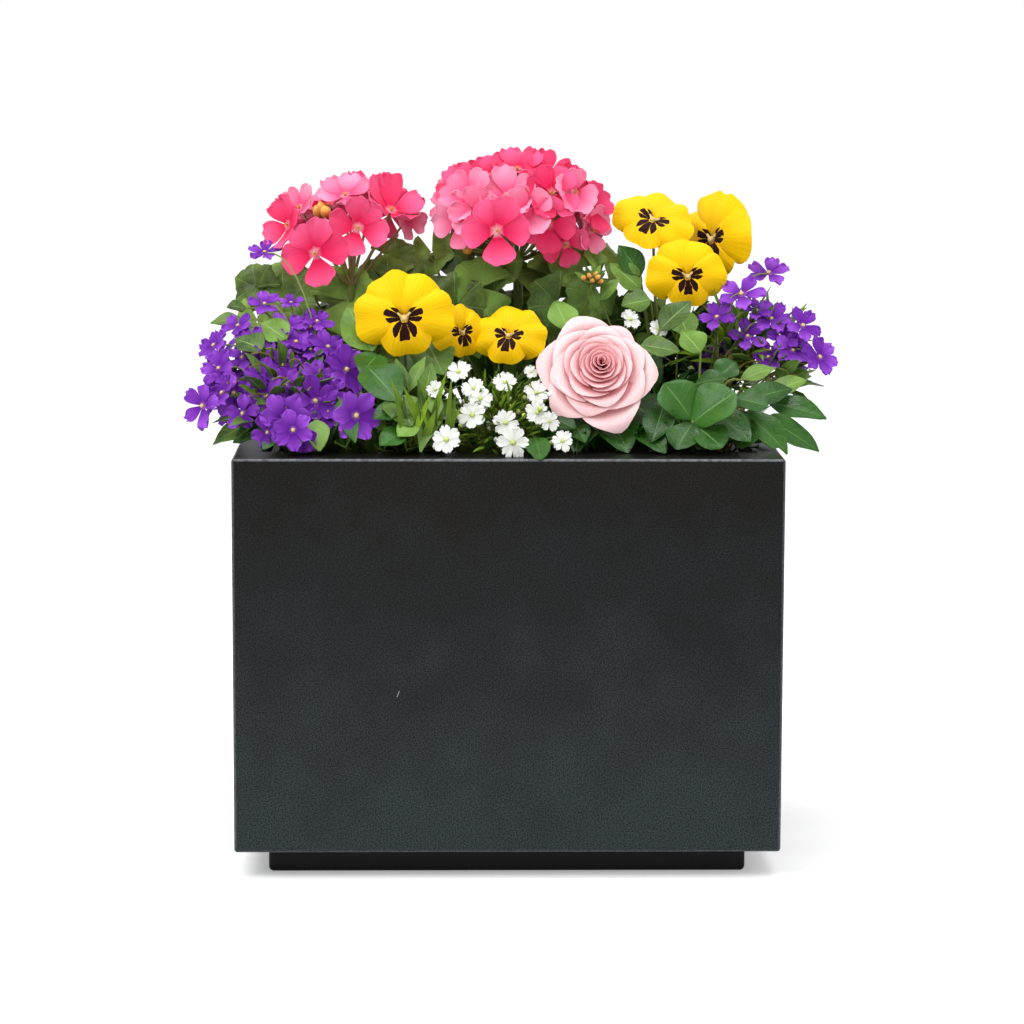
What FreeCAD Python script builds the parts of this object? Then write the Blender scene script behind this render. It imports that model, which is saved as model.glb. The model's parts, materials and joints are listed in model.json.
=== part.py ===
import FreeCAD, Part
import math
import os

"""Planter box of folded sheet steel on a recessed plinth, with a lift-out planted liner.

Row frame: millimetres, +Z up, +X along the box's length, -Y towards its front.
The origin is on the floor, in the middle of the plinth.
"""

V = FreeCAD.Vector
UP = V(0, 0, 1)

# ---------------------------------------------------------------- driving dimensions
box_length = 400.0
box_depth = 300.0
body_height = 290.0
plinth_height = 20.0
plinth_inset = 24.0

sheet = 1.5                  # steel sheet of the panels, the base and the plinth
bend = 2.4                   # outer bend radius of the folds
long_lip = 45.0              # lip folded in from the front and rear panels
end_lip = 20.0               # lip folded in from the end panels
lip_drop = 12.0              # height of the lip's down-turned inner edge
floor_flange = 50.0          # flange folded in at the foot of each panel
corner_wrap = 12.0           # how far the front and rear panels wrap round the corners
seam = 0.4                   # open joint between two panels

angle_leg = 25.0             # corner angle behind each vertical seam
angle_clearance = 1.0        # from the folds at its ends; the base plate keeps it too
stud_radius = 2.5            # M5 weld studs
stud_length = 11.0
stud_nut_across = 8.0
stud_nut_height = 4.7
stud_levels = 3
stud_end_margin = 38.0       # from the ends of the angle to the outer studs
stud_stagger = 16.0          # how much lower the studs sit on the end panels
thread_clearance = 0.05
hole_clearance = 0.3         # radial, for a fastener's plain hole

plinth_flange = 24.0         # the plinth's top flange
plinth_foot_flange = 18.0    # the plinth's bottom flange
plinth_bend = 3.6
weep_slot_length = 24.0
weep_slot_height = 5.0

bolt_radius = 3.0            # M6 bolts through plinth, panels and base
bolt_head_across = 10.0
bolt_head_height = 4.0
bolt_nut_height = 5.0
bolt_overhang = 1.5
washer_radius = 6.0
washer_thickness = 1.2
bolt_spread = 120.0          # spacing of the bolts along the long sides

drain_hole_radius = 7.0      # in the base plate
drain_spread_x = 122.0
drain_spread_y = 50.0

foot_corner_x = 44.0         # levelling foot's axis, from the plinth's end face
foot_corner_y = 44.0         # and from its long face
foot_radius = 16.0
foot_pad_height = 6.0
foot_boss_radius = 7.5
foot_boss_height = 9.5
foot_screw_radius = 4.0      # M8
foot_screw_floor = 3.0       # where the screw's lower end sits in the pad
foot_screw_rise = 13.5       # how far the screw stands above the base plate at rest
foot_socket_across = 4.0
foot_socket_depth = 5.0
weld_nut_across = 13.0
weld_nut_height = 6.0

bearer_height = 18.0         # hat sections that carry the liner
bearer_top = 30.0
bearer_foot = 13.0
bearer_length = 196.0
bearer_offset = 72.0
rivet_radius = 2.4
rivet_head_radius = 4.2
rivet_head_height = 1.1
rivet_tail_height = 1.6
rivet_end_margin = 18.0

liner_clearance = 3.0        # between the liner and the lip's down-turned edge
liner_wall = 2.5
liner_corner = 12.0
liner_below_rim = 10.0
liner_bead_width = 2.5       # the rim's extra thickness, inwards
liner_bead_height = 6.0
hand_slot_width = 76.0
hand_slot_height = 26.0
hand_slot_below_top = 24.0   # from the liner's rim to the slot's centre
trim_cover = 4.0             # how far the grip trim reaches over the wall
trim_thickness = 1.4
trim_lining = 3.0            # how thick the trim is inside the slot
liner_drain_radius = 5.0

tray_stand = 28.0            # height of the drainage tray's legs
tray_plate = 3.0
tray_gap = 1.5               # round the tray, fleece and soil
tray_leg_radius = 8.0
tray_leg_tip = 5.5
tray_legs_x = 6
tray_legs_y = 4
tray_hole_radius = 4.0

fleece_thickness = 1.5
fleece_upturn = 25.0
soil_below_rim = 54.0

plant_gap = 1.5              # between two plants' solids
finger_room = 24.0           # kept clear inside the hand slots
skirt_room = 4.0             # between foliage and the liner's long walls
crown_lift = 3.0             # gap between the box's rim and the overhanging foliage
spread_x = 52.0              # how far foliage may hang past the box's ends
spread_y = 14.0              # and past its front and rear
tallest_plant = 216.0        # above the rim
row_split = 4.0              # the line in y between the front and the rear plants
rear_splits = (-60.0, 62.0)  # the lines in x between the rear plants
front_splits = (-102.0, -40.0, 30.0, 102.0)
edging_line = -36.0          # the line in y behind the two low edging plants

# ---------------------------------------------------------------- worked-out places
half_length = box_length / 2
half_depth = box_depth / 2
shell_floor = plinth_height
rim_top = shell_floor + body_height
base_z = shell_floor + sheet
base_top = base_z + sheet
opening_length = box_length - 2 * end_lip
opening_depth = box_depth - 2 * long_lip
plinth_length = box_length - 2 * plinth_inset
plinth_depth = box_depth - 2 * plinth_inset
bolt_line = plinth_inset + sheet + (plinth_flange - sheet) / 2    # from the box's faces
foot_x = plinth_length / 2 - foot_corner_x
foot_y = plinth_depth / 2 - foot_corner_y
bearer_seat = base_top + bearer_height
liner_length = opening_length - 2 * liner_clearance
liner_depth = opening_depth - 2 * liner_clearance
liner_top = rim_top - liner_below_rim
liner_inner_length = liner_length - 2 * liner_wall
liner_inner_depth = liner_depth - 2 * liner_wall
liner_floor = bearer_seat + liner_wall
tray_top = liner_floor + tray_stand + tray_plate
soil_top = rim_top - soil_below_rim
CORNERS = (("front_left", -1, -1), ("front_right", 1, -1), ("rear_left", -1, 1), ("rear_right", 1, 1))


# ---------------------------------------------------------------- helpers
def block(x0, x1, y0, y1, z0, z1):
    return Part.makeBox(x1 - x0, y1 - y0, z1 - z0, V(x0, y0, z0))


def centred(length, depth, z0, z1):
    """A block centred on the origin in plan."""
    return block(-length / 2, length / 2, -depth / 2, depth / 2, z0, z1)


def prism(outline, z0, z1):
    """An upright prism on a closed outline of (x, y) points."""
    wire = Part.makePolygon([V(x, y, z0) for x, y in outline] + [V(*outline[0], z0)])
    return Part.Face(wire).extrude(V(0, 0, z1 - z0))


def rod(x, y, z0, z1, radius):
    return Part.makeCylinder(radius, z1 - z0, V(x, y, z0), UP)


def fillet(shape, radius, wanted):
    """Rounds the edges for which wanted(box) holds, where box is the edge's bounding box."""
    edges = [e for e in shape.Edges if wanted(e.BoundBox)]
    return shape.makeFillet(radius, edges)


def upright(box):
    return box.XLength < 0.01 and box.YLength < 0.01


def level(z):
    """A test for edges that lie at height z."""
    return lambda box: abs(box.ZMin - z) < 0.01 and abs(box.ZMax - z) < 0.01


def rounded_block(length, depth, z0, z1, radius):
    return fillet(centred(length, depth, z0, z1), radius, upright)


def hexagon(across, height, bore=0.0):
    """A hexagonal prism standing on the origin, with an optional bore."""
    corner = across / math.sqrt(3)
    turns = [math.radians(60 * k) for k in range(6)]
    outline = [(corner * math.cos(turn), corner * math.sin(turn)) for turn in turns]
    body = prism(outline, 0, height)
    return body.cut(rod(0, 0, -1, height + 1, bore)) if bore else body


def placed(shape, at, along=UP):
    """A copy of a shape built on the origin along +Z, moved to a point and turned to a direction."""
    copy = shape.copy()
    copy.Placement = FreeCAD.Placement(V(*at), FreeCAD.Rotation(UP, V(*along)))
    return copy


def together(shapes):
    """One solid made of shapes that touch or overlap."""
    joined = shapes[0].fuse(shapes[1:]) if len(shapes) > 1 else shapes[0]
    return joined.removeSplitter()


def group(shapes):
    return Part.makeCompound(shapes)


def mirrored(shape, across):
    return shape.mirror(V(0, 0, 0), V(*across))


# ---------------------------------------------------------------- outer shell
def whole_shell():
    """The four panels before they are parted: walls, rim lips and floor flanges."""
    outer = centred(box_length, box_depth, shell_floor, rim_top)
    outer = outer.makeFillet(bend, outer.Edges)
    inner = centred(box_length - 2 * sheet, box_depth - 2 * sheet, shell_floor + sheet, rim_top - sheet)
    inner = inner.makeFillet(bend - sheet, inner.Edges)
    ring = centred(
        opening_length + 2 * sheet, opening_depth + 2 * sheet, rim_top - lip_drop, rim_top - sheet / 2,
    )
    mouth = centred(opening_length, opening_depth, rim_top - 2 * lip_drop, rim_top + 1)
    under = centred(
        box_length - 2 * floor_flange, box_depth - 2 * floor_flange, 0, shell_floor + 2 * sheet,
    )
    shell = outer.cut(inner).fuse(ring).cut(mouth).cut(under).removeSplitter()

    def inside_mouth(box):
        across = max(abs(box.XMin), abs(box.XMax)) < opening_length / 2 + 0.01
        along = max(abs(box.YMin), abs(box.YMax)) < opening_depth / 2 + 0.01
        return level(rim_top)(box) and across and along

    return fillet(shell, bend - 0.2, inside_mouth)


def long_side_region(side, grow=0.0):
    """The plan region of the front (side -1) or rear (side 1) panel, past the box's outside."""
    past = 5.0
    outline = [
        (-half_length - past, -half_depth - past),
        (half_length + past, -half_depth - past),
        (half_length + past, -half_depth + corner_wrap + grow),
        (half_length, -half_depth + corner_wrap + grow),
        (opening_length / 2, -opening_depth / 2 + grow),
        (half_length - floor_flange, -half_depth + floor_flange + grow),
        (-half_length + floor_flange, -half_depth + floor_flange + grow),
        (-opening_length / 2, -opening_depth / 2 + grow),
        (-half_length, -half_depth + corner_wrap + grow),
        (-half_length - past, -half_depth + corner_wrap + grow),
    ]
    region = prism(outline, shell_floor - past, rim_top + past)
    return mirrored(region, (0, 1, 0)) if side > 0 else region


def angle_stations(sx, sy):
    """Places and inward directions of the studs of one corner, on the panels' inner faces."""
    middle = angle_leg * 0.56
    low = base_top + stud_end_margin
    high = rim_top - sheet - stud_end_margin
    heights = [low + (high - low) * k / (stud_levels - 1) for k in range(stud_levels)]
    on_long = (sx * (half_length - sheet - middle), sy * (half_depth - sheet), (0, -sy, 0))
    on_end = (sx * (half_length - sheet), sy * (half_depth - sheet - middle), (-sx, 0, 0))
    drops = (0.0, stud_stagger)
    return [
        ((x, y, z - drop), along)
        for (x, y, along), drop in zip((on_long, on_end), drops) for z in heights
    ]


def corner_angle(sx, sy):
    """The angle that ties a long panel to an end panel behind their seam."""
    x = half_length - sheet
    y = half_depth - sheet
    ease = bend
    outline = [
        (x, y - ease),
        (x - ease, y),
        (x - angle_leg, y),
        (x - angle_leg, y - sheet),
        (x - sheet, y - sheet),
        (x - sheet, y - angle_leg),
        (x, y - angle_leg),
    ]
    low = base_z + angle_clearance
    high = rim_top - sheet - angle_clearance
    angle = prism([(sx * px, sy * py) for px, py in outline], low, high)
    hole = Part.makeCylinder(stud_radius + hole_clearance, 4 * sheet)
    for at, along in angle_stations(sx, sy):
        start = [p - 2 * sheet * d for p, d in zip(at, along)]
        angle = angle.cut(placed(hole, start, along))
    return angle


def corner_fasteners():
    """Weld studs on the panels and the nuts on them, as two groups."""
    stud = Part.makeCylinder(stud_radius, stud_length)
    nut = hexagon(stud_nut_across, stud_nut_height, stud_radius + thread_clearance)
    studs = []
    nuts = []
    for _, sx, sy in CORNERS:
        for at, along in angle_stations(sx, sy):
            studs.append(placed(stud, at, along))
            nuts.append(placed(nut, [p + sheet * d for p, d in zip(at, along)], along))
    return group(studs), group(nuts)


# ---------------------------------------------------------------- base, plinth and feet
def bolt_places():
    """Plan places of the bolts that join plinth, panels and base plate."""
    y = half_depth - bolt_line
    x = half_length - bolt_line
    long_sides = [(k * bolt_spread, s * y) for s in (-1, 1) for k in (-1, 0, 1)]
    return long_sides + [(s * x, 0) for s in (-1, 1)]


def bolt_holes(shape):
    for x, y in bolt_places():
        shape = shape.cut(rod(x, y, 0, base_top + 5, bolt_radius + hole_clearance))
    return shape


def foot_places():
    return [(name, sx * foot_x, sy * foot_y) for name, sx, sy in CORNERS]


def base_plate():
    """The floor of the shell, resting on the panels' flanges."""
    length = box_length - 2 * (sheet + angle_clearance)
    depth = box_depth - 2 * (sheet + angle_clearance)
    plate = centred(length, depth, base_z, base_top)
    notch = angle_leg + angle_clearance
    for _, sx, sy in CORNERS:
        x = sx * (half_length - sheet)
        y = sy * (half_depth - sheet)
        x_ends, y_ends = sorted((x, x - sx * notch)), sorted((y, y - sy * notch))
        plate = plate.cut(block(*x_ends, *y_ends, 0, base_top + 1))
    for x in (-drain_spread_x, 0, drain_spread_x):
        for y in (-drain_spread_y, drain_spread_y):
            plate = plate.cut(rod(x, y, 0, base_top + 1, drain_hole_radius))
    for _, x, y in foot_places():
        plate = plate.cut(rod(x, y, 0, base_top + 1, foot_screw_radius + hole_clearance))
    for x, y in rivet_places():
        plate = plate.cut(rod(x, y, 0, base_top + 1, rivet_radius + thread_clearance))
    return bolt_holes(plate)


def plinth_frame():
    """A ring of channel section: web set back from the walls, flanges turned inwards."""
    outer = rounded_block(plinth_length, plinth_depth, 0, plinth_height, plinth_bend + 0.2)
    outer = fillet(outer, plinth_bend, level(0))
    inner_length = plinth_length - 2 * sheet
    inner_depth = plinth_depth - 2 * sheet
    under = plinth_height - sheet
    cavity = rounded_block(inner_length, inner_depth, sheet, under, plinth_bend + 0.2 - sheet)
    cavity = fillet(cavity, plinth_bend - sheet, level(sheet))
    top, foot = 2 * plinth_flange, 2 * plinth_foot_flange
    upper = centred(plinth_length - top, plinth_depth - top, sheet, plinth_height + 1)
    lower = centred(plinth_length - foot, plinth_depth - foot, -1, 2 * sheet)
    frame = outer.cut(cavity).cut(upper).cut(lower)
    rear = plinth_depth / 2
    half = weep_slot_length / 2
    low = plinth_bend + 0.4
    high = low + weep_slot_height
    for x in (-drain_spread_x, 0, drain_spread_x):
        frame = frame.cut(block(x - half, x + half, rear - 2 * sheet, rear + 1, low, high))
    return bolt_holes(frame)


def plinth_fasteners():
    """Bolts with their heads on the base plate, washers and nuts under the plinth's flange."""
    under = plinth_height - sheet
    head = hexagon(bolt_head_across, bolt_head_height)
    nut = hexagon(bolt_head_across, bolt_nut_height, bolt_radius + thread_clearance)
    bolts = []
    washers = []
    nuts = []
    for x, y in bolt_places():
        tip = under - washer_thickness - bolt_nut_height - bolt_overhang
        bolts.append(together([placed(head, (x, y, base_top)), rod(x, y, tip, base_top + 1, bolt_radius)]))
        washer = rod(x, y, under - washer_thickness, under, washer_radius)
        washers.append(washer.cut(rod(x, y, 0, base_top, bolt_radius + hole_clearance)))
        nuts.append(placed(nut, (x, y, under - washer_thickness - bolt_nut_height)))
    return group(bolts), group(washers), group(nuts)


def foot_nuts():
    """Nuts welded under the base plate, in which the levelling screws turn."""
    nut = hexagon(weld_nut_across, weld_nut_height, foot_screw_radius + thread_clearance)
    return group([placed(nut, (x, y, base_z - weld_nut_height)) for _, x, y in foot_places()])


def foot_pad(x, y):
    disc = fillet(rod(x, y, 0, foot_pad_height, foot_radius), 1.5, level(foot_pad_height))
    boss = rod(x, y, 0, foot_boss_height, foot_boss_radius)
    socket = rod(x, y, foot_screw_floor, foot_boss_height + 1, foot_screw_radius + thread_clearance)
    return together([disc, boss]).cut(socket)


def foot_screw(x, y):
    top = base_top + foot_screw_rise
    screw = rod(x, y, foot_screw_floor, top, foot_screw_radius)
    screw = screw.makeChamfer(0.6, [e for e in screw.Edges if level(top)(e.BoundBox)])
    socket = placed(hexagon(foot_socket_across, foot_socket_depth + 1), (x, y, top - foot_socket_depth))
    return screw.cut(socket)


def bearer(side):
    """A hat section running from front to rear, on which the liner stands."""
    x = side * bearer_offset
    half = bearer_top / 2
    outline = [
        (-half - bearer_foot, 0), (-half, 0), (-half, bearer_height - sheet), (half, bearer_height - sheet),
        (half, 0), (half + bearer_foot, 0), (half + bearer_foot, sheet), (half + sheet, sheet),
        (half + sheet, bearer_height), (-half - sheet, bearer_height), (-half - sheet, sheet),
        (-half - bearer_foot, sheet),
    ]
    start = -bearer_length / 2
    points = [V(x + px, start, base_top + pz) for px, pz in outline]
    hat = Part.Face(Part.makePolygon(points + [points[0]])).extrude(V(0, bearer_length, 0))
    for rx, ry in rivet_places():
        hat = hat.cut(rod(rx, ry, base_top - 1, base_top + 2 * sheet, rivet_radius + thread_clearance))
    return hat


def rivet_places():
    offset = bearer_top / 2 + sheet + (bearer_foot - sheet) / 2
    reach = bearer_length / 2 - rivet_end_margin
    return [
        (side * bearer_offset + foot * offset, y)
        for side in (-1, 1) for foot in (-1, 1) for y in (-reach, 0, reach)
    ]


def bearer_rivets():
    rivets = []
    for x, y in rivet_places():
        head = rod(x, y, base_top + sheet, base_top + sheet + rivet_head_height, rivet_head_radius)
        shank = rod(x, y, base_z - rivet_tail_height, base_top + sheet + 0.5, rivet_radius)
        rivets.append(together([head, shank]))
    return group(rivets)


# ---------------------------------------------------------------- lift-out liner
def slot_prism(side, width, height, x_low, x_high):
    """A slot-shaped prism along X through one end wall of the liner."""
    z = liner_top - hand_slot_below_top
    radius = height / 2
    run = width / 2 - radius
    body = block(x_low, x_high, -run, run, z - radius, z + radius)
    ends = [Part.makeCylinder(radius, x_high - x_low, V(x_low, y, z), V(1, 0, 0)) for y in (-run, run)]
    prism_right = together([body] + ends)
    return prism_right if side > 0 else mirrored(prism_right, (1, 0, 0))


def liner_drains():
    return [(x, y) for x in (-drain_spread_x, 0, drain_spread_x) for y in (-drain_spread_y, drain_spread_y)]


def liner():
    """The open tub that holds the soil, with drain holes and a hand slot in each end."""
    outer = rounded_block(liner_length, liner_depth, bearer_seat, liner_top, liner_corner)
    outer = fillet(outer, liner_wall, level(bearer_seat))
    inner_corner = liner_corner - liner_wall
    bead_foot = liner_top - liner_bead_height
    inner = rounded_block(liner_inner_length, liner_inner_depth, liner_floor, bead_foot, inner_corner)
    mouth = rounded_block(
        liner_inner_length - 2 * liner_bead_width, liner_inner_depth - 2 * liner_bead_width,
        liner_floor, liner_top + 1, inner_corner - liner_bead_width,
    )
    tub = outer.cut(inner).cut(mouth)
    for x, y in liner_drains():
        tub = tub.cut(rod(x, y, 0, liner_floor + 1, liner_drain_radius))
    for side in (-1, 1):
        inside = liner_inner_length / 2 - 5
        tub = tub.cut(slot_prism(side, hand_slot_width, hand_slot_height, inside, half_length))
    return tub


def grip_trim(side, tub):
    """Soft edging that laps both faces of the wall round a hand slot."""
    inner_x = liner_inner_length / 2 - trim_thickness
    outer_x = liner_length / 2 + trim_thickness
    over, under = 2 * trim_cover, 2 * trim_lining
    cover = slot_prism(side, hand_slot_width + over, hand_slot_height + over, inner_x, outer_x)
    hole = slot_prism(side, hand_slot_width - under, hand_slot_height - under, 0, half_length)
    return cover.cut(hole).cut(tub)


def drainage_tray():
    """A perforated false floor on short legs, which keeps the soil out of standing water."""
    length = liner_inner_length - 2 * tray_gap
    depth = liner_inner_depth - 2 * tray_gap
    tray = rounded_block(length, depth, tray_top - tray_plate, tray_top, liner_corner - liner_wall)
    pitch_x = length / tray_legs_x
    pitch_y = depth / tray_legs_y
    columns = [(k + 0.5) * pitch_x - length / 2 for k in range(tray_legs_x)]
    rows = [(k + 0.5) * pitch_y - depth / 2 for k in range(tray_legs_y)]
    legs = [
        Part.makeCone(tray_leg_tip, tray_leg_radius, tray_stand + 0.5, V(x, y, liner_floor), UP)
        for x in columns for y in rows
    ]
    tray = together([tray] + legs)
    for x in [c + pitch_x / 2 for c in columns[:-1]]:
        for y in rows + [r + pitch_y / 2 for r in rows[:-1]]:
            tray = tray.cut(rod(x, y, tray_top - 2 * tray_plate, tray_top + 1, tray_hole_radius))
    return tray


def filter_fleece():
    """Fleece on the drainage tray, turned up against the liner's walls."""
    length = liner_inner_length - 2 * tray_gap
    depth = liner_inner_depth - 2 * tray_gap
    corner = liner_corner - liner_wall
    outer = rounded_block(length, depth, tray_top, tray_top + fleece_upturn, corner)
    hollow = rounded_block(
        length - 2 * fleece_thickness, depth - 2 * fleece_thickness,
        tray_top + fleece_thickness, tray_top + fleece_upturn + 1, corner - fleece_thickness,
    )
    return outer.cut(hollow)


def soil_block(fleece):
    length = liner_inner_length - 2 * tray_gap
    depth = liner_inner_depth - 2 * tray_gap
    return rounded_block(length, depth, tray_top, soil_top, liner_corner - liner_wall).cut(fleece)


# ---------------------------------------------------------------- planting
def cell(x_low, x_high, y_low, y_high):
    """A plant's block of stems inside the liner, and the space that its crown may fill above the rim.

    A limit of None is the planting's outside: the liner's wall below the rim, the free spread above.
    """
    wall_x = liner_inner_length / 2 - finger_room
    wall_y = liner_inner_depth / 2 - skirt_room
    gap = plant_gap / 2
    inner = [
        -wall_x if x_low is None else x_low + gap, wall_x if x_high is None else x_high - gap,
        -wall_y if y_low is None else y_low + gap, wall_y if y_high is None else y_high - gap,
    ]
    outer = [
        -half_length - spread_x if x_low is None else x_low + gap,
        half_length + spread_x if x_high is None else x_high - gap,
        -half_depth - spread_y if y_low is None else y_low + gap,
        half_depth + spread_y if y_high is None else y_high - gap,
    ]
    crown_base = rim_top + crown_lift
    skirt = block(*inner, soil_top, crown_base + 8)
    column = block(*outer, crown_base, rim_top + tallest_plant)
    return skirt, column


def ball(x, y, above_rim, radius):
    return Part.makeSphere(radius, V(x, y, rim_top + above_rim))


def mound(x, y, top, low_radius, high_radius):
    """Foliage that widens from the rim up to a height above it."""
    return Part.makeCone(low_radius, high_radius, top - crown_lift, V(x, y, rim_top + crown_lift), UP)


def bloom(x, y, above_rim, radius, thickness=12.0, tilt=0.3):
    """A flat flower head that faces the front and a little upwards."""
    facing = V(0, -1, tilt)
    facing.normalize()
    middle = V(x, y, rim_top + above_rim)
    return Part.makeCylinder(radius, thickness, middle - facing * thickness / 2, facing)


def stem(x, y, above_rim, radius=5.0):
    return rod(x, y, rim_top, rim_top + above_rim, radius)


def plant(limits, parts):
    """One plant: a skirt of stems on the soil with its crown, kept inside its own column of space."""
    skirt, column = cell(*limits)
    crown = parts[0].fuse(parts[1:]) if len(parts) > 1 else parts[0]
    return together([skirt, crown.common(column)])


def planting():
    """Every plant's plain solid, by node name."""
    rear_left, rear_right = rear_splits
    first, second, third, fourth = front_splits
    edging = edging_line
    return {
        "geranium_left": plant(
            (None, rear_left, row_split, None),
            [
                mound(-115, 56, 112, 62, 58),
                ball(-152, 48, 146, 33),
                ball(-98, 52, 164, 38),
                stem(-115, 54, 150),
            ],
        ),
        "geranium_centre": plant(
            (rear_left, rear_right, row_split, None),
            [mound(2, 58, 104, 60, 66), ball(12, 54, 152, 62), stem(8, 54, 140, 6)],
        ),
        "pansy_right": plant(
            (rear_right, None, row_split, None),
            [
                mound(128, 56, 96, 60, 58),
                bloom(112, 44, 160, 34),
                bloom(166, 56, 153, 38),
                bloom(138, 18, 122, 36),
                stem(112, 50, 150),
                stem(160, 60, 140),
                stem(138, 24, 110),
            ],
        ),
        "aubrieta_left": plant(
            (None, first, None, row_split),
            [ball(-176, -78, 42, 74), mound(-150, -70, 60, 58, 62), ball(-200, -24, 84, 30)],
        ),
        "pansy_left": plant(
            (first, second, None, row_split),
            [mound(-72, -62, 66, 60, 52), bloom(-76, -60, 100, 38), stem(-74, -52, 90)],
        ),
        "alyssum_white": plant(
            (second, third, None, edging),
            [mound(-4, -98, 56, 56, 50), ball(-4, -98, 50, 26)],
        ),
        "pansy_centre": plant(
            (second, third, edging, row_split),
            [mound(-6, -16, 74, 40, 46), bloom(4, -22, 86, 30), stem(2, -16, 76)],
        ),
        "rose": plant(
            (third, fourth, None, row_split),
            [mound(66, -66, 40, 56, 60), ball(66, -90, 56, 42), stem(66, -70, 40)],
        ),
        "periwinkle_right": plant(
            (fourth, None, None, edging),
            [mound(150, -96, 44, 54, 66), ball(196, -76, 12, 50)],
        ),
        "aubrieta_right": plant(
            (fourth, None, edging, row_split),
            [mound(168, -16, 62, 50, 70), ball(206, -16, 72, 44)],
        ),
    }


# ---------------------------------------------------------------- the assembly
def build():
    shell = bolt_holes(whole_shell())
    ends = shell.cut(long_side_region(-1, seam)).cut(long_side_region(1, seam))
    past = half_depth + 10
    nodes = {
        "front_panel": shell.common(long_side_region(-1)),
        "rear_panel": shell.common(long_side_region(1)),
        "left_end_panel": ends.common(block(-half_length - 10, 0, -past, past, 0, rim_top + 10)),
        "right_end_panel": ends.common(block(0, half_length + 10, -past, past, 0, rim_top + 10)),
    }
    for name, sx, sy in CORNERS:
        nodes["corner_angle_" + name] = corner_angle(sx, sy)
    nodes["corner_studs"], nodes["corner_nuts"] = corner_fasteners()
    nodes["base_plate"] = base_plate()
    nodes["plinth_frame"] = plinth_frame()
    nodes["plinth_bolts"], nodes["plinth_washers"], nodes["plinth_nuts"] = plinth_fasteners()
    nodes["liner_bearer_left"] = bearer(-1)
    nodes["liner_bearer_right"] = bearer(1)
    nodes["bearer_rivets"] = bearer_rivets()
    nodes["foot_nuts"] = foot_nuts()
    for name, x, y in foot_places():
        nodes["foot_pad_" + name] = foot_pad(x, y)
        nodes["foot_screw_" + name] = foot_screw(x, y)
    tub = liner()
    nodes["liner"] = tub
    nodes["grip_trim_left"] = grip_trim(-1, tub)
    nodes["grip_trim_right"] = grip_trim(1, tub)
    nodes["drainage_tray"] = drainage_tray()
    fleece = filter_fleece()
    nodes["filter_fleece"] = fleece
    nodes["potting_soil"] = soil_block(fleece)
    nodes.update(planting())
    return nodes


def main():
    os.makedirs("parts", exist_ok=True)
    for name, shape in build().items():
        if not shape.isValid() or not shape.Solids:
            raise RuntimeError(name + " is not a valid solid")
        shape.exportStep("parts/" + name + ".step")
        print(name, len(shape.Solids), "solids", round(shape.Volume / 1000, 1), "cm3")


main()
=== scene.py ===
"""Planter box with mixed planting: materials, petals, leaves, soil, studio and camera.

Pieces are in millimetres and become metres when they are made; the studio and the camera are in metres.
Axes are the row's: +Z up, -Y to the front.
"""
import json
import math

import bpy
import numpy as np
from mathutils import Matrix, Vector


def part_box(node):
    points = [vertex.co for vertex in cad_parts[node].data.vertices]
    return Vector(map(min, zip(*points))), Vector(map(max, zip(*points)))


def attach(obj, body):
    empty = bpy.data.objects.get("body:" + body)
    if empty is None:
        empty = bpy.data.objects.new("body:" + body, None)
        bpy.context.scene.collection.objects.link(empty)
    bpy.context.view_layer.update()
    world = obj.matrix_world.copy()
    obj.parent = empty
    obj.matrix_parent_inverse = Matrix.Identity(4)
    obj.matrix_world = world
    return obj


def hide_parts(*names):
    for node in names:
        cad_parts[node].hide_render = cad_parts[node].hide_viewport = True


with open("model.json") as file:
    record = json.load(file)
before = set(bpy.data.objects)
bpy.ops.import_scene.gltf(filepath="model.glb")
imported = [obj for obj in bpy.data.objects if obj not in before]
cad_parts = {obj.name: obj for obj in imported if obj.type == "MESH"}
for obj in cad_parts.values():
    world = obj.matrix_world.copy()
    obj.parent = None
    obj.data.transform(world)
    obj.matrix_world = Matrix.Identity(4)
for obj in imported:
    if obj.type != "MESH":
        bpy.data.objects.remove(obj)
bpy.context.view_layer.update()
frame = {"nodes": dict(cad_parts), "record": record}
MM = 0.001
rng = np.random.default_rng(20)


def corners(node):
    """Lowest and highest corner of a CAD node, in millimetres."""
    low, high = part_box(node)
    return np.array(low) / MM, np.array(high) / MM


SOIL_LOW, SOIL_HIGH = corners("potting_soil")
SOIL = SOIL_HIGH[2]
PANEL_LOW, PANEL_HIGH = corners("front_panel")
FOOT, RIM = PANEL_LOW[2], PANEL_HIGH[2]     # heights of the folded body's ends
SHELL = PANEL_HIGH[0], -PANEL_LOW[1]        # its half length and half depth
LINER = corners("liner")[1]
BEND = 2.2                                  # how far the painted highlight on a bend reaches
SCUFF_AT = (-80.0, 138.0)                   # x and height of the scuff's middle
SCUFF_HALF = (0.35, 2.2)
SCUFF_SLANT = 0.35
LEAF_CLEAR = 1.5                            # leaves keep this off the folded lip
LIP_MARGIN = 7.0                            # from the liner's outside inwards, where that starts
GOLDEN_TURN = 2.39996
GREEN_GLOW = (0.001, 0.002, 0.0006)         # how far light spreads in leaves and stalks


# ---------------------------------------------------------------- materials
def rgb(red, green, blue):
    """A linear colour from display values of 0 to 255."""
    linear = [((c / 255 + 0.055) / 1.055) ** 2.4 if c > 10 else c / 3294.6 for c in (red, green, blue)]
    return (*linear, 1.0)


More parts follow.
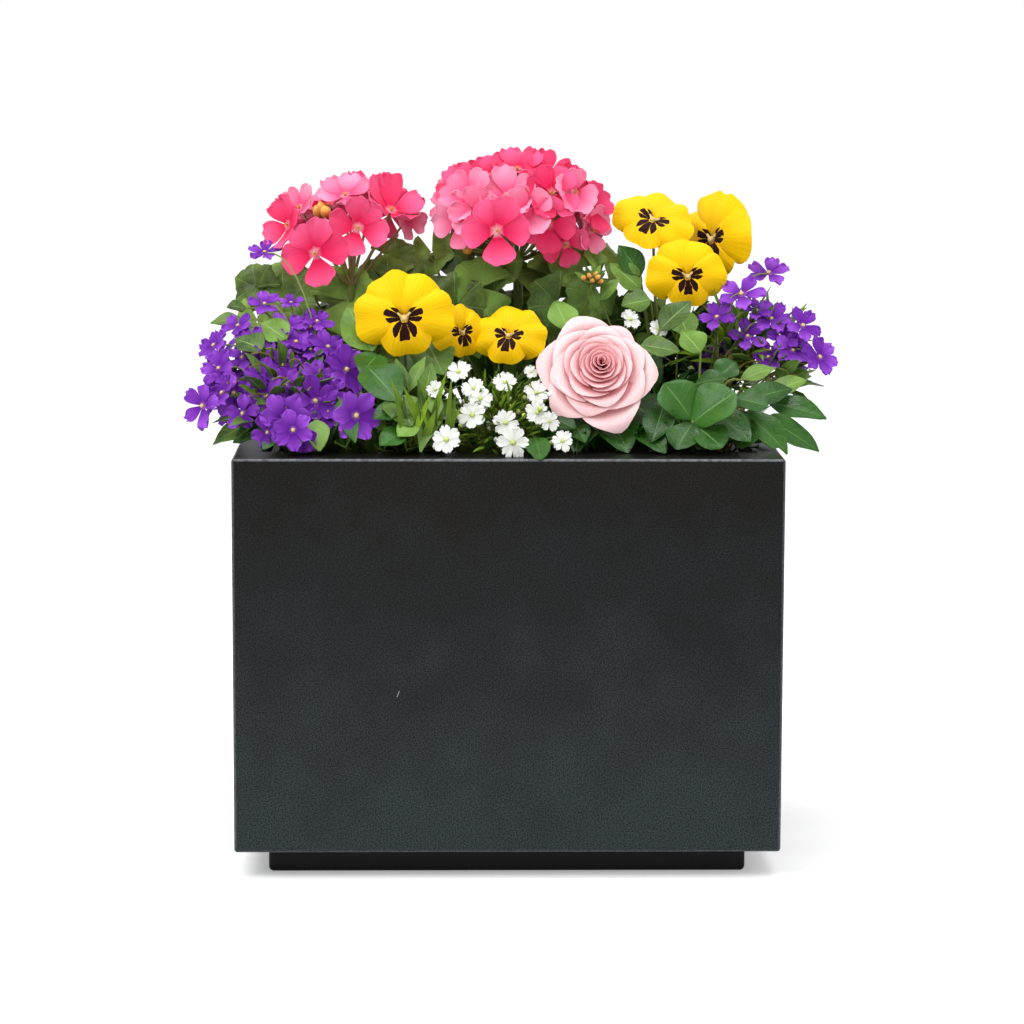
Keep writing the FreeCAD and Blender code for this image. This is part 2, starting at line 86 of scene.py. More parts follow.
class Value:
    """An output of a node, which adds, multiplies and compares as a number does."""

    def __init__(self, nodes, socket):
        self.nodes = nodes
        self.socket = socket

    def math(self, operation, other=0.0):
        return self.nodes.value("ShaderNodeMath", 0, {0: self, 1: other}, operation=operation)

    def __add__(self, other):
        return self.math("ADD", other)

    def __sub__(self, other):
        return self.math("SUBTRACT", other)

    def __mul__(self, other):
        return self.math("MULTIPLY", other)

    def __lt__(self, other):
        return self.math("LESS_THAN", other)

    def __gt__(self, other):
        return self.math("GREATER_THAN", other)

    def __abs__(self):
        return self.math("ABSOLUTE")


class Nodes:
    """Short calls for the nodes of a material or of the world."""

    def __init__(self, tree):
        self.tree = tree

    def add(self, kind, inputs=(), **settings):
        made = self.tree.nodes.new(kind)
        for key, value in settings.items():
            setattr(made, key, value)
        for slot, value in dict(inputs).items():
            self.feed(made.inputs[slot], value)
        return made

    def value(self, kind, output, inputs=(), **settings):
        """Adds a node and gives one of its outputs."""
        return Value(self, self.add(kind, inputs, **settings).outputs[output])

    def feed(self, socket, value):
        if isinstance(value, Value):
            self.tree.links.new(value.socket, socket)
        else:
            socket.default_value = value

    def split(self, vector):
        """The three parts of a vector."""
        return [Value(self, output) for output in self.add("ShaderNodeSeparateXYZ", {0: vector}).outputs]

    def place(self):
        """The shaded point in the piece's own frame, in metres."""
        return self.value("ShaderNodeTexCoord", "Object")

    def noise(self, scale, detail=3.0, stretch=None):
        place = self.place()
        if stretch:
            place = self.value("ShaderNodeMapping", 0, {"Vector": place, "Scale": stretch})
        return self.value("ShaderNodeTexNoise", "Fac", {"Vector": place, "Scale": scale, "Detail": detail})

    def ramp(self, value, *stops):
        """A value or colour that changes along stops of (position, value or colour)."""
        made = self.add("ShaderNodeValToRGB", {0: value})
        points = made.color_ramp.elements
        while len(points) < len(stops):
            points.new(0.5)
        for point, (position, colour) in zip(points, stops):
            point.position = position
            point.color = colour if isinstance(colour, tuple) else (colour, colour, colour, 1.0)
        return Value(self, made.outputs[0])

    def mix(self, factor, first, second, blend="MIX"):
        inputs = {0: factor, 6: first, 7: second}
        return self.value("ShaderNodeMix", 2, inputs, data_type="RGBA", blend_type=blend)


class Shade(Nodes):
    """A material on the principled shader."""

    def __init__(self, name, **values):
        self.material = bpy.data.materials.new(name)
        self.material.use_nodes = True
        super().__init__(self.material.node_tree)
        self.shader = next(n for n in self.tree.nodes if n.type == "BSDF_PRINCIPLED")
        for key, value in values.items():
            self.set(key.replace("_", " "), value)

    def set(self, key, value):
        self.feed(self.shader.inputs[key], value)

    def part(self):
        """Across, along and tone of a petal or leaf, from the mesh."""
        return self.split(self.value("ShaderNodeAttribute", "Vector", attribute_name="part"))

    def bump(self, height, distance):
        self.set("Normal", self.value("ShaderNodeBump", 0, {"Height": height, "Distance": distance}))


def powder_coat(name, colour, lighter, low=None, rough=(0.25, 0.36)):
    """Satin powder coat: fine grain, faint clouds, painted highlights along the bends, painted floor bounce
    that makes it paler towards the foot, and one scuff on the front.
    """
    shade = Shade(name, Specular_IOR_Level=0.12)
    grain = shade.noise(1000.0, 1.0)
    x, y, z = shade.split(shade.place())
    base = shade.mix(shade.ramp(shade.noise(7.0, 4.0), (0.35, 0.0), (0.7, 0.6)), colour, lighter)
    # low is painted bounce light from the floor: the coat turns paler and bluer towards the bottom
    if low:
        drift = (shade.noise(24.0, 5.0) - 0.5) * 0.22
        base = shade.mix(shade.ramp(z + drift, (0.04, 1.0), (0.17, 0.36), (0.3, 0.0)), base, low)
    base = shade.mix(1.0, base, shade.ramp(grain, (0.4, 0.35), (0.62, 1.8)), "MULTIPLY")
    end = abs(x)
    side = abs(y) + (SHELL[0] - SHELL[1]) * MM
    away = end.math("MAXIMUM", side)
    # painted highlights: lighter bands along the top bends, the upright corner bends and the foot bends,
    # broken up by noise
    bend_highlight = 0.0
    for past_bend, highlight_strength in (
        (away + z - (SHELL[0] + RIM - BEND) * MM, 0.8),
        (end + side - (2 * SHELL[0] - BEND) * MM, 0.4),
        (away - z - (SHELL[0] - FOOT - BEND) * MM, 0.15),
    ):
        highlight_band = shade.ramp(past_bend * 400.0, (0.02, 0.0), (0.3, 1.0))
        patchy = shade.ramp(shade.noise(300.0), (0.25, highlight_strength * 0.3), (0.6, highlight_strength))
        bend_highlight = (highlight_band * patchy).math("MAXIMUM", bend_highlight)
    base = shade.mix(bend_highlight, base, rgb(118, 120, 126))
    rise = z - SCUFF_AT[1] * MM
    aside = x - SCUFF_AT[0] * MM - rise * SCUFF_SLANT
    on_front = y < (10 - SHELL[1]) * MM
    scuff = (abs(aside) < SCUFF_HALF[0] * MM) * (abs(rise) < SCUFF_HALF[1] * MM) * on_front
    shade.set("Base Color", shade.mix(scuff * 0.6, base, rgb(150, 152, 154)))
    shade.set("Roughness", shade.ramp(grain, (0.3, rough[0]), (0.75, rough[1])))
    shade.bump(grain, 0.00006)
    return shade.material


def zinc(name, colour, spangle, rough):
    """Zinc-coated steel, with a faint pattern of crystals and handling marks."""
    shade = Shade(name, Metallic=1.0)
    crystals = shade.value("ShaderNodeTexVoronoi", "Color", {"Vector": shade.place(), "Scale": spangle})
    tint = shade.mix(crystals * 0.35, colour, rgb(206, 210, 214))
    stain = shade.ramp(shade.noise(22.0, 5.0), (0.5, 0.0), (0.75, 0.5))
    shade.set("Base Color", shade.mix(stain, tint, rgb(104, 102, 98)))
    shade.set("Roughness", shade.ramp(shade.noise(160.0, 4.0), (0.3, rough - 0.08), (0.7, rough + 0.12)))
    shade.bump(shade.noise(700.0), 0.00002)
    return shade.material


def moulded(name, colour, lighter, rough=0.55, grain=1400.0):
    """Moulded plastic or rubber with a fine grained skin."""
    shade = Shade(name, Specular_IOR_Level=0.4)
    skin = shade.noise(grain, 2.0)
    scuffs = shade.ramp(shade.noise(60.0, 6.0, (1, 1, 0.2)), (0.55, 0.0), (0.72, 0.6))
    shade.set("Base Color", shade.mix(scuffs, shade.mix(shade.noise(14.0), colour, lighter), lighter))
    shade.set("Roughness", shade.ramp(skin, (0.3, rough - 0.08), (0.7, rough + 0.1)))
    shade.bump(skin, 0.00004)
    return shade.material


def granular(name, dark, light, grain, depth):
    """Soil and bark: clods of two colours with a rough, damp surface."""
    shade = Shade(name, Roughness=0.9, Specular_IOR_Level=0.25)
    clods = shade.noise(grain, 8.0)
    flecks = shade.ramp(shade.noise(grain * 4, 3.0), (0.62, 0.0), (0.7, 1.0))
    base = shade.mix(shade.ramp(clods, (0.35, 0.0), (0.7, 1.0)), dark, light)
    shade.set("Base Color", shade.mix(flecks * 0.5, base, rgb(150, 122, 90)))
    shade.bump(clods, depth)
    return shade.material


def felt(name, colour, shadow):
    """Needled fleece: a fibrous mat of crossing hairs."""
    shade = Shade(name, Roughness=0.95, Sheen_Weight=0.35, Sheen_Roughness=0.5)
    fibres = shade.noise(500.0, 4.0, (1, 0.15, 1)) * shade.noise(520.0, 4.0, (0.15, 1, 1))
    shade.set("Base Color", shade.mix(shade.ramp(fibres, (0.12, 0.0), (0.4, 1.0)), shadow, colour))
    shade.bump(fibres, 0.0004)
    return shade.material


def petal_skin(name, throat, inner, outer, vein, veins=9.0, vein_fade=0.5, deep=0.35, mark=None, glow=0.25):
    """A soft petal: throat, body and edge colours, fine branching veins and an optional dark mark."""
    shade = Shade(name, Roughness=0.5, Specular_IOR_Level=0.1, Sheen_Weight=0.03, Subsurface_Weight=glow)
    shade.set("Subsurface Radius", (0.002, 0.0018, 0.0018))
    shade.set("Subsurface Scale", 0.6)
    across, along, tone = shade.part()
    wave = (across * (veins * math.pi) + shade.noise(90.0, 2.0) * 1.6).math("SINE")
    lines = shade.ramp(abs(wave), (0.0, 1.0), (0.45, 0.0))
    fade = shade.ramp(along, (0.1, 1.0), (0.95, 0.12))
    body = shade.ramp(along, (0.03, throat), (0.2, inner), (0.85, outer))
    body = shade.mix(tone * deep, body, inner)
    body = shade.mix(lines * fade * vein_fade, body, vein)
    if mark:
        colour, reach, rays = mark
        swing = (shade.noise(300.0) - 0.5) * 0.14
        comb = abs(((across + swing) * (rays * math.pi)).math("COSINE"))
        edge = shade.ramp(comb, (0.0, 0.6), (0.5, 1.0)) * reach - across * across * (reach * 0.45)
        off_gap = (comb + along * -0.22) > 0.01
        body = shade.mix((along < edge) * (along > 0.09) * off_gap, body, colour)
    shade.set("Base Color", body)
    shade.bump(lines + shade.noise(600.0), 0.00012)
    return shade.material


def leaf_skin(name, dark, light, vein, gloss=0.42, ribs=7.0, zone=0.0):
    """A leaf: two greens by tone and cloud, a pale midrib, side veins and an optional darker ring."""
    shade = Shade(name, Specular_IOR_Level=0.24, Subsurface_Weight=0.12)
    shade.set("Subsurface Radius", GREEN_GLOW)
    shade.set("Subsurface Scale", 0.5)
    across, along, tone = shade.part()
    side = abs(across)
    cloud = shade.ramp(shade.noise(70.0, 4.0), (0.3, 0.0), (0.72, 1.0))
    body = shade.mix(cloud * 0.35 + tone * 0.7, dark, light)
    if zone:
        ring = shade.ramp(along, (0.32, 0.0), (0.5, zone), (0.66, zone), (0.8, 0.0))
        body = shade.mix(ring, body, dark)
    slant = along * ribs - side * 1.7
    veins = shade.ramp(abs((slant * math.pi).math("SINE")), (0.0, 1.0), (0.16, 0.0))
    midrib = shade.ramp(side, (0.015, 1.0), (0.06, 0.0))
    both = (veins * 0.3).math("MAXIMUM", midrib * 0.6)
    shade.set("Base Color", shade.mix(both, body, vein))
    shade.set("Roughness", shade.ramp(cloud, (0.0, gloss), (1.0, gloss + 0.15)))
    shade.bump(shade.noise(420.0) - both * 0.8, 0.0003)
    return shade.material


def stalk_skin(name, dark, light):
    """A stalk, streaked along its length."""
    shade = Shade(name, Roughness=0.5, Subsurface_Weight=0.1)
    shade.set("Subsurface Radius", GREEN_GLOW)
    shade.set("Base Color", shade.mix(shade.noise(120.0, 3.0, (1, 1, 0.2)), dark, light))
    shade.bump(shade.noise(900.0, 2.0, (1, 1, 0.15)), 0.0001)
    return shade.material


# the third colour is the painted floor bounce towards the foot of the body
COAT = powder_coat("powder_coat_charcoal", rgb(17, 16, 15), rgb(23, 22, 20), rgb(35, 42, 45))
COAT_PLINTH = powder_coat("powder_coat_plinth", rgb(9, 9, 10), rgb(13, 14, 15), rough=(0.36, 0.5))
ZINC_SHEET = zinc("galvanised_sheet", rgb(150, 153, 156), 90.0, 0.45)
ZINC_PARTS = zinc("zinc_plated_fasteners", rgb(178, 178, 172), 500.0, 0.34)
NYLON = moulded("black_nylon", rgb(24, 24, 25), rgb(46, 46, 48))
LINER_PLASTIC = moulded("liner_plastic", rgb(26, 27, 27), rgb(48, 49, 49), 0.6)
TRIM_RUBBER = moulded("trim_rubber", rgb(18, 18, 18), rgb(34, 34, 34), 0.7, 2200.0)
TRAY_PLASTIC = moulded("tray_plastic", rgb(50, 56, 48), rgb(84, 90, 80), 0.6)
FLEECE = felt("needled_fleece", rgb(214, 212, 202), rgb(150, 148, 138))
COMPOST = granular("compost", rgb(34, 24, 17), rgb(74, 54, 38), 260.0, 0.0012)
BARK = granular("bark_crumb", rgb(58, 40, 26), rgb(116, 84, 58), 300.0, 0.0006)

PINK = petal_skin("geranium_petal", rgb(250, 200, 214), rgb(224, 16, 78), rgb(246, 100, 148), rgb(174, 2, 56),
                  9.0, 0.6, 0.7, None, 0.1)
PINK_SOFT = petal_skin("geranium_petal_pale", rgb(250, 206, 222), rgb(236, 70, 122), rgb(251, 162, 194),
                       rgb(206, 30, 94), 9.0, 0.55, 0.5, None, 0.1)
YELLOW = petal_skin("pansy_petal", rgb(226, 164, 2), rgb(234, 184, 0), rgb(240, 196, 0), rgb(214, 152, 0),
                    7.0, 0.35, 0.6, None, 0.06)
YELLOW_MARKED = petal_skin("pansy_petal_marked", rgb(228, 168, 4), rgb(234, 184, 0), rgb(240, 196, 0),
                           rgb(214, 152, 0), 7.0, 0.35, 0.5, (rgb(36, 4, 2), 0.41, 1.7), 0.06)
VIOLET = petal_skin("aubrieta_petal", rgb(182, 132, 204), rgb(98, 22, 150), rgb(162, 84, 214),
                    rgb(54, 6, 106), 5.0, 0.75, 0.8, None, 0.1)
WHITE = petal_skin("alyssum_petal", rgb(204, 210, 140), rgb(222, 225, 216), rgb(236, 237, 233),
                   rgb(176, 184, 160), 3.0, 0.4, 0.3, None, 0.1)
ROSE = petal_skin("rose_petal", rgb(224, 70, 92), rgb(238, 118, 130), rgb(248, 210, 211), rgb(226, 124, 138),
                  16.0, 0.12, 0.3, None, 0.2)
EYE = petal_skin("flower_eye", rgb(168, 134, 60), rgb(200, 168, 92), rgb(220, 196, 134),
                 rgb(130, 90, 30), 6.0)
BUD = petal_skin("green_bud", rgb(110, 136, 44), rgb(146, 168, 62), rgb(206, 214, 130), rgb(92, 116, 40), 5.0)
ANTHER = petal_skin("geranium_anther", rgb(200, 110, 50), rgb(216, 130, 60), rgb(240, 190, 100),
                    rgb(140, 60, 30), 6.0)
LEAF_ROUND = leaf_skin("leaf_geranium", rgb(8, 28, 4), rgb(138, 174, 70), rgb(164, 188, 108), 0.3, 5.0, 0.3)
LEAF_BROAD = leaf_skin("leaf_broad", rgb(6, 32, 6), rgb(56, 108, 32), rgb(98, 144, 72), 0.24)
LEAF_SOFT = leaf_skin("leaf_soft", rgb(10, 38, 4), rgb(124, 164, 68), rgb(160, 186, 112), 0.32)
LEAF_FINE = leaf_skin("leaf_fine", rgb(30, 60, 8), rgb(122, 156, 30), rgb(146, 172, 66), 0.4, 3.0)
STALK = stalk_skin("stalk_green", rgb(70, 90, 22), rgb(140, 152, 66))
STALK_DARK = stalk_skin("stalk_dark", rgb(66, 68, 20), rgb(142, 118, 56))
GERANIUM_SKINS = PINK, PINK_SOFT, ANTHER
STALKS = STALK, STALK_DARK


# ---------------------------------------------------------------- meshes
def unit(vector):
    vector = np.asarray(vector, float)
    return vector / (np.linalg.norm(vector, axis=-1, keepdims=True) + 1e-9)


def turned(facing, roll=0.0):
    """Rows: the right, the up and the face direction of something that faces a way and is rolled about it."""
    face = unit(facing)
    guide = np.array([0.0, 0.0, 1.0]) if abs(face[2]) < 0.95 else np.array([0.0, 1.0, 0.0])
    up = unit(guide - face * (guide @ face))
    right = np.cross(up, face)
    return np.array([
        right * math.cos(roll) + up * math.sin(roll), up * math.cos(roll) - right * math.sin(roll), face,
    ])


def grid(across, along, start=0.0):
    """Two arrays: -1 to 1 across and start to 1 along."""
    return np.meshgrid(np.linspace(-1, 1, across), np.linspace(start, 1, along), indexing="ij")


def shell(points, thickness, wrap=False):
    """Both sides and the faces of a thin closed solid on a grid of points."""
    if wrap:
        across = np.roll(points, -1, 0) - np.roll(points, 1, 0)
    else:
        across = np.gradient(points, axis=0)
    normal = unit(np.cross(across, np.gradient(points, axis=1)))
    both = np.stack([points + normal * thickness / 2, points - normal * thickness / 2])
    count = points.shape[0] * points.shape[1]
    top = np.arange(count).reshape(points.shape[:2])
    if wrap:
        top = np.vstack([top, top[:1]])
    low = top + count
    sheets = [
        (top[:-1, :-1], top[1:, :-1], top[1:, 1:], top[:-1, 1:]),
        (low[:-1, :-1], low[:-1, 1:], low[1:, 1:], low[1:, :-1]),
        (top[:-1, 0], low[:-1, 0], low[1:, 0], top[1:, 0]),
        (top[:-1, -1], top[1:, -1], low[1:, -1], low[:-1, -1]),
    ]
    if not wrap:
        sheets += [
            (top[0, :-1], top[0, 1:], low[0, 1:], low[0, :-1]),
            (top[-1, :-1], low[-1, :-1], low[-1, 1:], top[-1, 1:]),
        ]
    faces = np.concatenate([np.stack([c.ravel() for c in sheet], 1) for sheet in sheets])
    return both, faces.tolist()


def tube(path, radii, sides):
    """Rings and faces of a closed round tube along a path."""
    path = np.asarray(path, float)
    along = unit(np.gradient(path, axis=0))
    side = unit(np.cross(along, (0.31, 0.94, 0.12)))
    other = np.cross(along, side)
    turn = 2 * np.pi * np.arange(sides) / sides
    circle = np.cos(turn)[:, None] * side[:, None] + np.sin(turn)[:, None] * other[:, None]
    rings = path[:, None] + circle * np.broadcast_to(np.asarray(radii, float), len(path))[:, None, None]
    index = np.arange(len(path) * sides).reshape(len(path), sides)
    nxt = np.roll(index, -1, 1)
    faces = np.stack([index[:-1], nxt[:-1], nxt[1:], index[1:]], 2).reshape(-1, 4).tolist()
    return rings, faces + [index[0, ::-1].tolist(), index[-1].tolist()]


def bow(start, end, lean, steps):
    """Points on a bowed line between two points; lean moves its middle."""
    t = np.linspace(0, 1, steps)[:, None]
    start, end = np.asarray(start, float), np.asarray(end, float)
    middle = (start + end) / 2 + np.asarray(lean, float)
    return (1 - t) ** 2 * start + 2 * t * (1 - t) * middle + t ** 2 * end


def off_the_rim(points):
    """Lifts what would lie in the box's folded lip onto it, a little higher outwards."""
    x, y, z = np.abs(points[..., 0]), np.abs(points[..., 1]), points[..., 2]
    on_box = (x < SHELL[0] + LEAF_CLEAR) & (y < SHELL[1] + LEAF_CLEAR)
    on_lip = on_box & ((x > LINER[0] - LIP_MARGIN) | (y > LINER[1] - LIP_MARGIN))
    rest = RIM + LEAF_CLEAR
    points[..., 2] = np.where(on_lip & (z < rest), rest + 0.02 * (x + y - 250), z)
    return points


class Batch:
    """Gathers closed shells in millimetres and makes one piece of them."""

    def __init__(self, name, *materials):
        self.name = name
        self.materials = materials
        self.points = []
        self.parts = []
        self.faces = []
        self.slots = []
        self.count = 0

    def add(self, points, faces, part, slot=0):
        points = points.reshape(-1, 3)
        self.points.append(points)
        self.parts.append(np.broadcast_to(part, points.shape).reshape(-1, 3))
        self.faces += [[i + self.count for i in face] for face in faces]
        self.slots += [slot] * len(faces)
        self.count += len(points)

    def sheet(self, points, across, along, tone, thickness=0.5, slot=0):
        """A petal or leaf; its material reads across, along and tone."""
        both, faces = shell(off_the_rim(points), thickness)
        part = np.stack([across, along, np.full(across.shape, tone)], 2)
        self.add(both, faces, np.stack([part, part]).reshape(-1, 3), slot)

    def stalk(self, start, end, radius, lean=(0, 0, 0), slot=0, sides=5, steps=6):
        """A bowed stalk. One that leaves the box rises inside it first and then bends over the lip."""
        start, end = np.asarray(start, float), np.asarray(end, float)
        if (np.abs(end[:2]) > LINER[:2] - 12).any() and start[2] < RIM:
            high = start + (end - start) * 0.3
            high[2] = max(end[2], RIM + 8) + 12
            lean, steps = high - (start + end) / 2, steps + 5
        path = off_the_rim(bow(start, end, lean, steps))
        rings, faces = tube(path, np.linspace(radius, radius * 0.75, steps), sides)
        self.add(rings, faces, (0.4, 0.5, rng.random()), slot)

    def knob(self, at, facing, radius, height, slot=0, sides=8):
        """A small rounded boss, such as a flower's eye or a bud."""
        t = np.linspace(0.04, 0.98, 5)
        path = np.asarray(at, float) + unit(facing) * (t[:, None] - 0.4) * height
        rings, faces = tube(path, radius * np.sin(np.pi * t) ** 0.6, sides)
        part = np.stack(np.broadcast_arrays(0.3, t[:, None] * np.ones(sides), 0.5), 2)
        self.add(rings, faces, part.reshape(-1, 3), slot)

    def make(self, body, slot_name, *replaced):
        """Makes the piece in metres, hangs it on what it rides on and hides the CAD nodes it replaces;
        slot_name is not used.
        """
        mesh = bpy.data.meshes.new(self.name)
        mesh.from_pydata((np.concatenate(self.points) * MM).tolist(), [], self.faces)
        mesh.attributes.new("part", "FLOAT_VECTOR", "POINT").data.foreach_set(
            "vector", np.concatenate(self.parts).astype(np.float32).ravel())
        for material in self.materials:
            mesh.materials.append(material)
        mesh.polygons.foreach_set("material_index", np.array(self.slots, np.int32))
        mesh.polygons.foreach_set("use_smooth", np.ones(len(self.slots), bool))
        mesh.set_sharp_from_angle(angle=math.radians(55))
        made = bpy.data.objects.new(self.name, mesh)
        bpy.context.scene.collection.objects.link(made)
        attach(made, body)
        if replaced:
            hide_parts(*replaced)
        return made


# ---------------------------------------------------------------- petals and leaves
def obovate(length, width, tip, notch, cup, ruffle, steps=(7, 7), wedge=1.4):
    """A petal along +Y that faces +Z, narrow at its base and broad near its rounded end."""
    u, v = grid(*steps)
    grow = 0.12 + 0.88 * np.sin(np.pi / 2 * np.minimum(1, v / 0.74)) ** wedge
    shrink = np.sqrt(1 - 0.5 * (np.maximum(0, v - 0.74) / 0.26) ** 2)
    phase = rng.random() * 6
    reach = v - tip * u ** 2 * v ** 3 - notch * np.exp(-(u / 0.32) ** 2) * v ** 4
    reach = reach + 0.02 * np.sin(5 * u + 2 * phase) * v ** 4
    rise = cup * v ** 2 + ruffle * np.sin(6 * u + phase) * v ** 3 + 0.1 * u ** 2 * v
    return np.stack([u * width / 2 * grow * shrink, length * reach, length * rise], 2), u, v


def fan(length, spread, notch, ruffle=0.04, back=0.12):
    """A broad petal that fans out from its base over an angle either side of +Y."""
    u, v = grid(15, 8, start=0.05)
    turn = u * spread
    phase = rng.random() * 6
    edge = length * (1 - 0.3 * np.abs(u) ** 2.8) * (1 + 0.025 * np.sin(8 * u + phase))
    edge = edge * (1 - notch * np.exp(-(u / 0.16) ** 2))
    rise = 0.1 * np.sin(np.pi * v) - back * v ** 2 - 0.1 * np.abs(u) ** 3 * v
    rise = rise + ruffle * np.sin(7 * u + phase) * v ** 3
    return np.stack([np.sin(turn) * edge * v, np.cos(turn) * edge * v, length * rise], 2), u, v


def set_petal(batch, at, pose, petal, angle, lift, thickness, slot=0, along=1.0, aside=0.0):
    """Turns a petal about its flower's middle; along and aside stretch and shift its markings."""
    points, u, v = petal
    u, v = u - aside, v * along
    cos, sin = math.cos(angle), math.sin(angle)
    turn = np.array([[cos, sin, 0], [-sin, cos, 0], [0, 0, 1]])
    local = points @ turn + (0, 0, lift)
    batch.sheet(np.asarray(at, float) + local @ pose, u, v, rng.random(), thickness, slot)


def pansy(batch, at, facing, size, roll):
    """Two upper petals behind, one each side and a notched lower one; the front three have a dark mark."""
    pose = turned(facing, roll)
    reach = size / 2
    for angle, spread, length, lift, slot, along in (
        (0.46, 0.86, 0.97, -3.0, 0, 1.0), (-0.6, 0.84, 0.93, -1.8, 0, 1.0), (1.5, 0.86, 1.02, -0.2, 1, 1.0),
        (-1.5, 0.86, 0.98, 0.6, 1, 1.0), (math.pi, 1.16, 0.78, 1.8, 1, 0.66),
    ):
        petal = fan(reach * length, spread, 0.07 if along < 1 else 0.02)
        aside = 0.0 if abs(angle) > 3 else math.copysign(0.3, angle)
        set_petal(batch, at, pose, petal, angle, lift, 0.6, slot, along=along, aside=aside)
    for k in (-1, 1):
        start = np.asarray(at) + pose[2] * 2.4 + pose[0] * k * size * 0.015
        end = start + pose[0] * k * size * 0.05 + pose[1] * size * 0.05
        batch.stalk(start, end, size * 0.016, slot=2, steps=3)
    batch.knob(np.asarray(at) + pose[2] * 2.4, pose[2] - pose[1] * 0.6, size * 0.036, size * 0.08, 2)


def floret(batch, at, facing, size, roll, slot, cup=0.12):
    """A geranium floret of five wedge-shaped petals."""
    pose = turned(facing, roll)
    for k, angle in enumerate((0.4, -0.44, 1.6, -1.64, math.pi)):
        length = size * (0.53 if k < 2 else 0.5) * (0.92 + 0.14 * rng.random())
        width = size * (0.4 if k < 2 else 0.47)
        petal = obovate(length, width, 0.15, 0.05, cup + 0.14 * (rng.random() - 0.4), 0.035, (11, 9), 1.7)
        set_petal(batch, at, pose, petal, angle + 0.2 * (rng.random() - 0.5), 0.7 * (k % 2), 0.5, slot)
    for k in range(6):
        lean = pose[2] * 3.4 + pose[0] * math.cos(k * 1.26) * 1.6 + pose[1] * math.sin(k * 1.26) * 1.6
        batch.stalk(at, np.asarray(at) + lean, 0.5, slot=2, steps=3)


def small_flower(batch, at, facing, size, petals, notch, cup, eye, eye_slot=1):
    """A simple flower of equal petals round a knob."""
    pose = turned(facing, rng.random() * 6)
    for k in range(petals):
        length = size / 2 * (0.92 + 0.16 * rng.random())
        petal = obovate(length, size * 0.33, 0.2, notch, cup + 0.1 * (rng.random() - 0.5), 0.1)
        angle = (k + 0.22 * (rng.random() - 0.5)) * 2 * math.pi / petals
        set_petal(batch, at, pose, petal, angle, 0.15 * (k % 2), 0.4)
    batch.knob(np.asarray(at) + pose[2] * size * 0.02, pose[2], size * eye, size * eye * 1.3, eye_slot)


PROFILES = {"ovate": (0.85, 0.78), "obovate": (1.35, 0.55), "lance": (0.9, 1.1)}    # skew, power


def blade(batch, base, tip, width, kind, facing=(0, -0.6, 0.8), slot=0, tone=None, fold=0.2, droop=0.12,
          steps=(7, 9)):
    """A leaf from base to tip whose upper face looks roughly towards facing."""
    base, tip = np.asarray(base, float), np.asarray(tip, float)
    length = np.linalg.norm(tip - base)
    along = unit(tip - base)
    face = unit(np.asarray(facing, float) - along * (np.asarray(facing, float) @ along))
    right = np.cross(along, face)
    u, v = grid(*steps)
    skew, power = PROFILES[kind]
    half = width / 2 * np.maximum(0.05, np.sin(np.pi * v ** skew) ** power)
    wave = 0.05 * width * np.sin(9 * v + rng.random() * 6) * u ** 2
    rise = fold * np.abs(u) * half - droop * length * (v ** 2 - v * 0.4) + wave
    points = base + (u * half)[..., None] * right + (length * v)[..., None] * along + rise[..., None] * face
    batch.sheet(points, u, v, rng.random() if tone is None else tone, 0.5, slot)


def round_leaf(batch, at, facing, radius, slot, roll):
    """A round, softly lobed geranium leaf that is funnelled towards its stalk."""
    pose = turned(facing, roll)
    u, v = grid(43, 7, start=0.06)
    turn = u * 2.8
    phase = rng.random() * 6
    edge = radius * (1 + 0.05 * np.cos(turn * 7) + 0.03 * np.cos(turn * 17))
    rise = 0.34 * v ** 1.5 + 0.1 * np.sin(turn * 3.5 + phase) * v ** 2 - 0.3 * v ** 4
    rise = rise + 0.16 * np.sin(turn + phase) * v ** 2
    local = np.stack([np.sin(turn) * edge * v, np.cos(turn) * edge * v, radius * rise], 2)
    batch.sheet(np.asarray(at, float) + local @ pose, np.sin(turn * 3.5), v, rng.random(), 0.6, slot)


def hem(batch, left, right, count, slot=0, kind="ovate"):
    """Low leaves along the front lip, which hide the feet of the stalks."""
    for x in np.linspace(left, right, count):
        base = np.array([x + 4 * rng.random(), -88 + 8 * rng.random(), RIM - 8 + 10 * rng.random()])
        tip = base + (26 * (rng.random() - 0.5), -18 - 12 * rng.random(), 10 + 14 * rng.random())
        blade(batch, base, tip, 11 + 6 * rng.random(), kind, (0, -0.8, 0.7), slot, steps=(5, 7))


def around(count, low, high, start=0.0):
    """Evenly spread directions on a dome: height from low to high of a unit sphere."""
    heights = low + (high - low) * (np.arange(count) + 0.5) / count
    turns = start + GOLDEN_TURN * np.arange(count)
    flat = np.sqrt(1 - heights ** 2)
    return np.stack([flat * np.cos(turns), flat * np.sin(turns), heights], 1)


def cushion(batch, centre, radii, count, length, width, kind, slot, low, spread=0.25, steps=(5, 6),
            tones=(0.0, 1.0)):
    """Leaves that grow outwards from a mound."""
    radii = np.asarray(radii)
    for way in around(count, low, 0.98, start=rng.random() * 6):
        way = unit(way + (rng.random(3) - 0.5) * 0.5)
        base = np.asarray(centre) + way * radii * (0.55 + 0.3 * rng.random())
        out = unit(way + (0, 0, 0.35) + (rng.random(3) - 0.5) * spread * 2)
        size = length * (0.75 + 0.5 * rng.random())
        tone = tones[0] + (tones[1] - tones[0]) * rng.random()
        blade(batch, base, base + out * size, width * (0.8 + 0.4 * rng.random()), kind,
              way + (0, 0, 0.7), slot, tone, 0.25, 0.2 * rng.random() + 0.05, steps)


# ---------------------------------------------------------------- the planting
INSERT = "planting_insert"


def batches(name, petal_skins, leaf_skins, stem_skins):
    """A plant's petals, leaves and stems."""
    parts = ("petals", petal_skins), ("leaves", leaf_skins), ("stems", stem_skins)
    return [Batch(name + "_" + part, *skins) for part, skins in parts]


def plant(slot_name, node, petals, leaves, stems):
    """Makes a plant's three pieces; the petals stand in for its CAD block."""
    petals.make(INSERT, slot_name, node)
    leaves.make(INSERT, "foliage")
    stems.make(INSERT, "foliage")


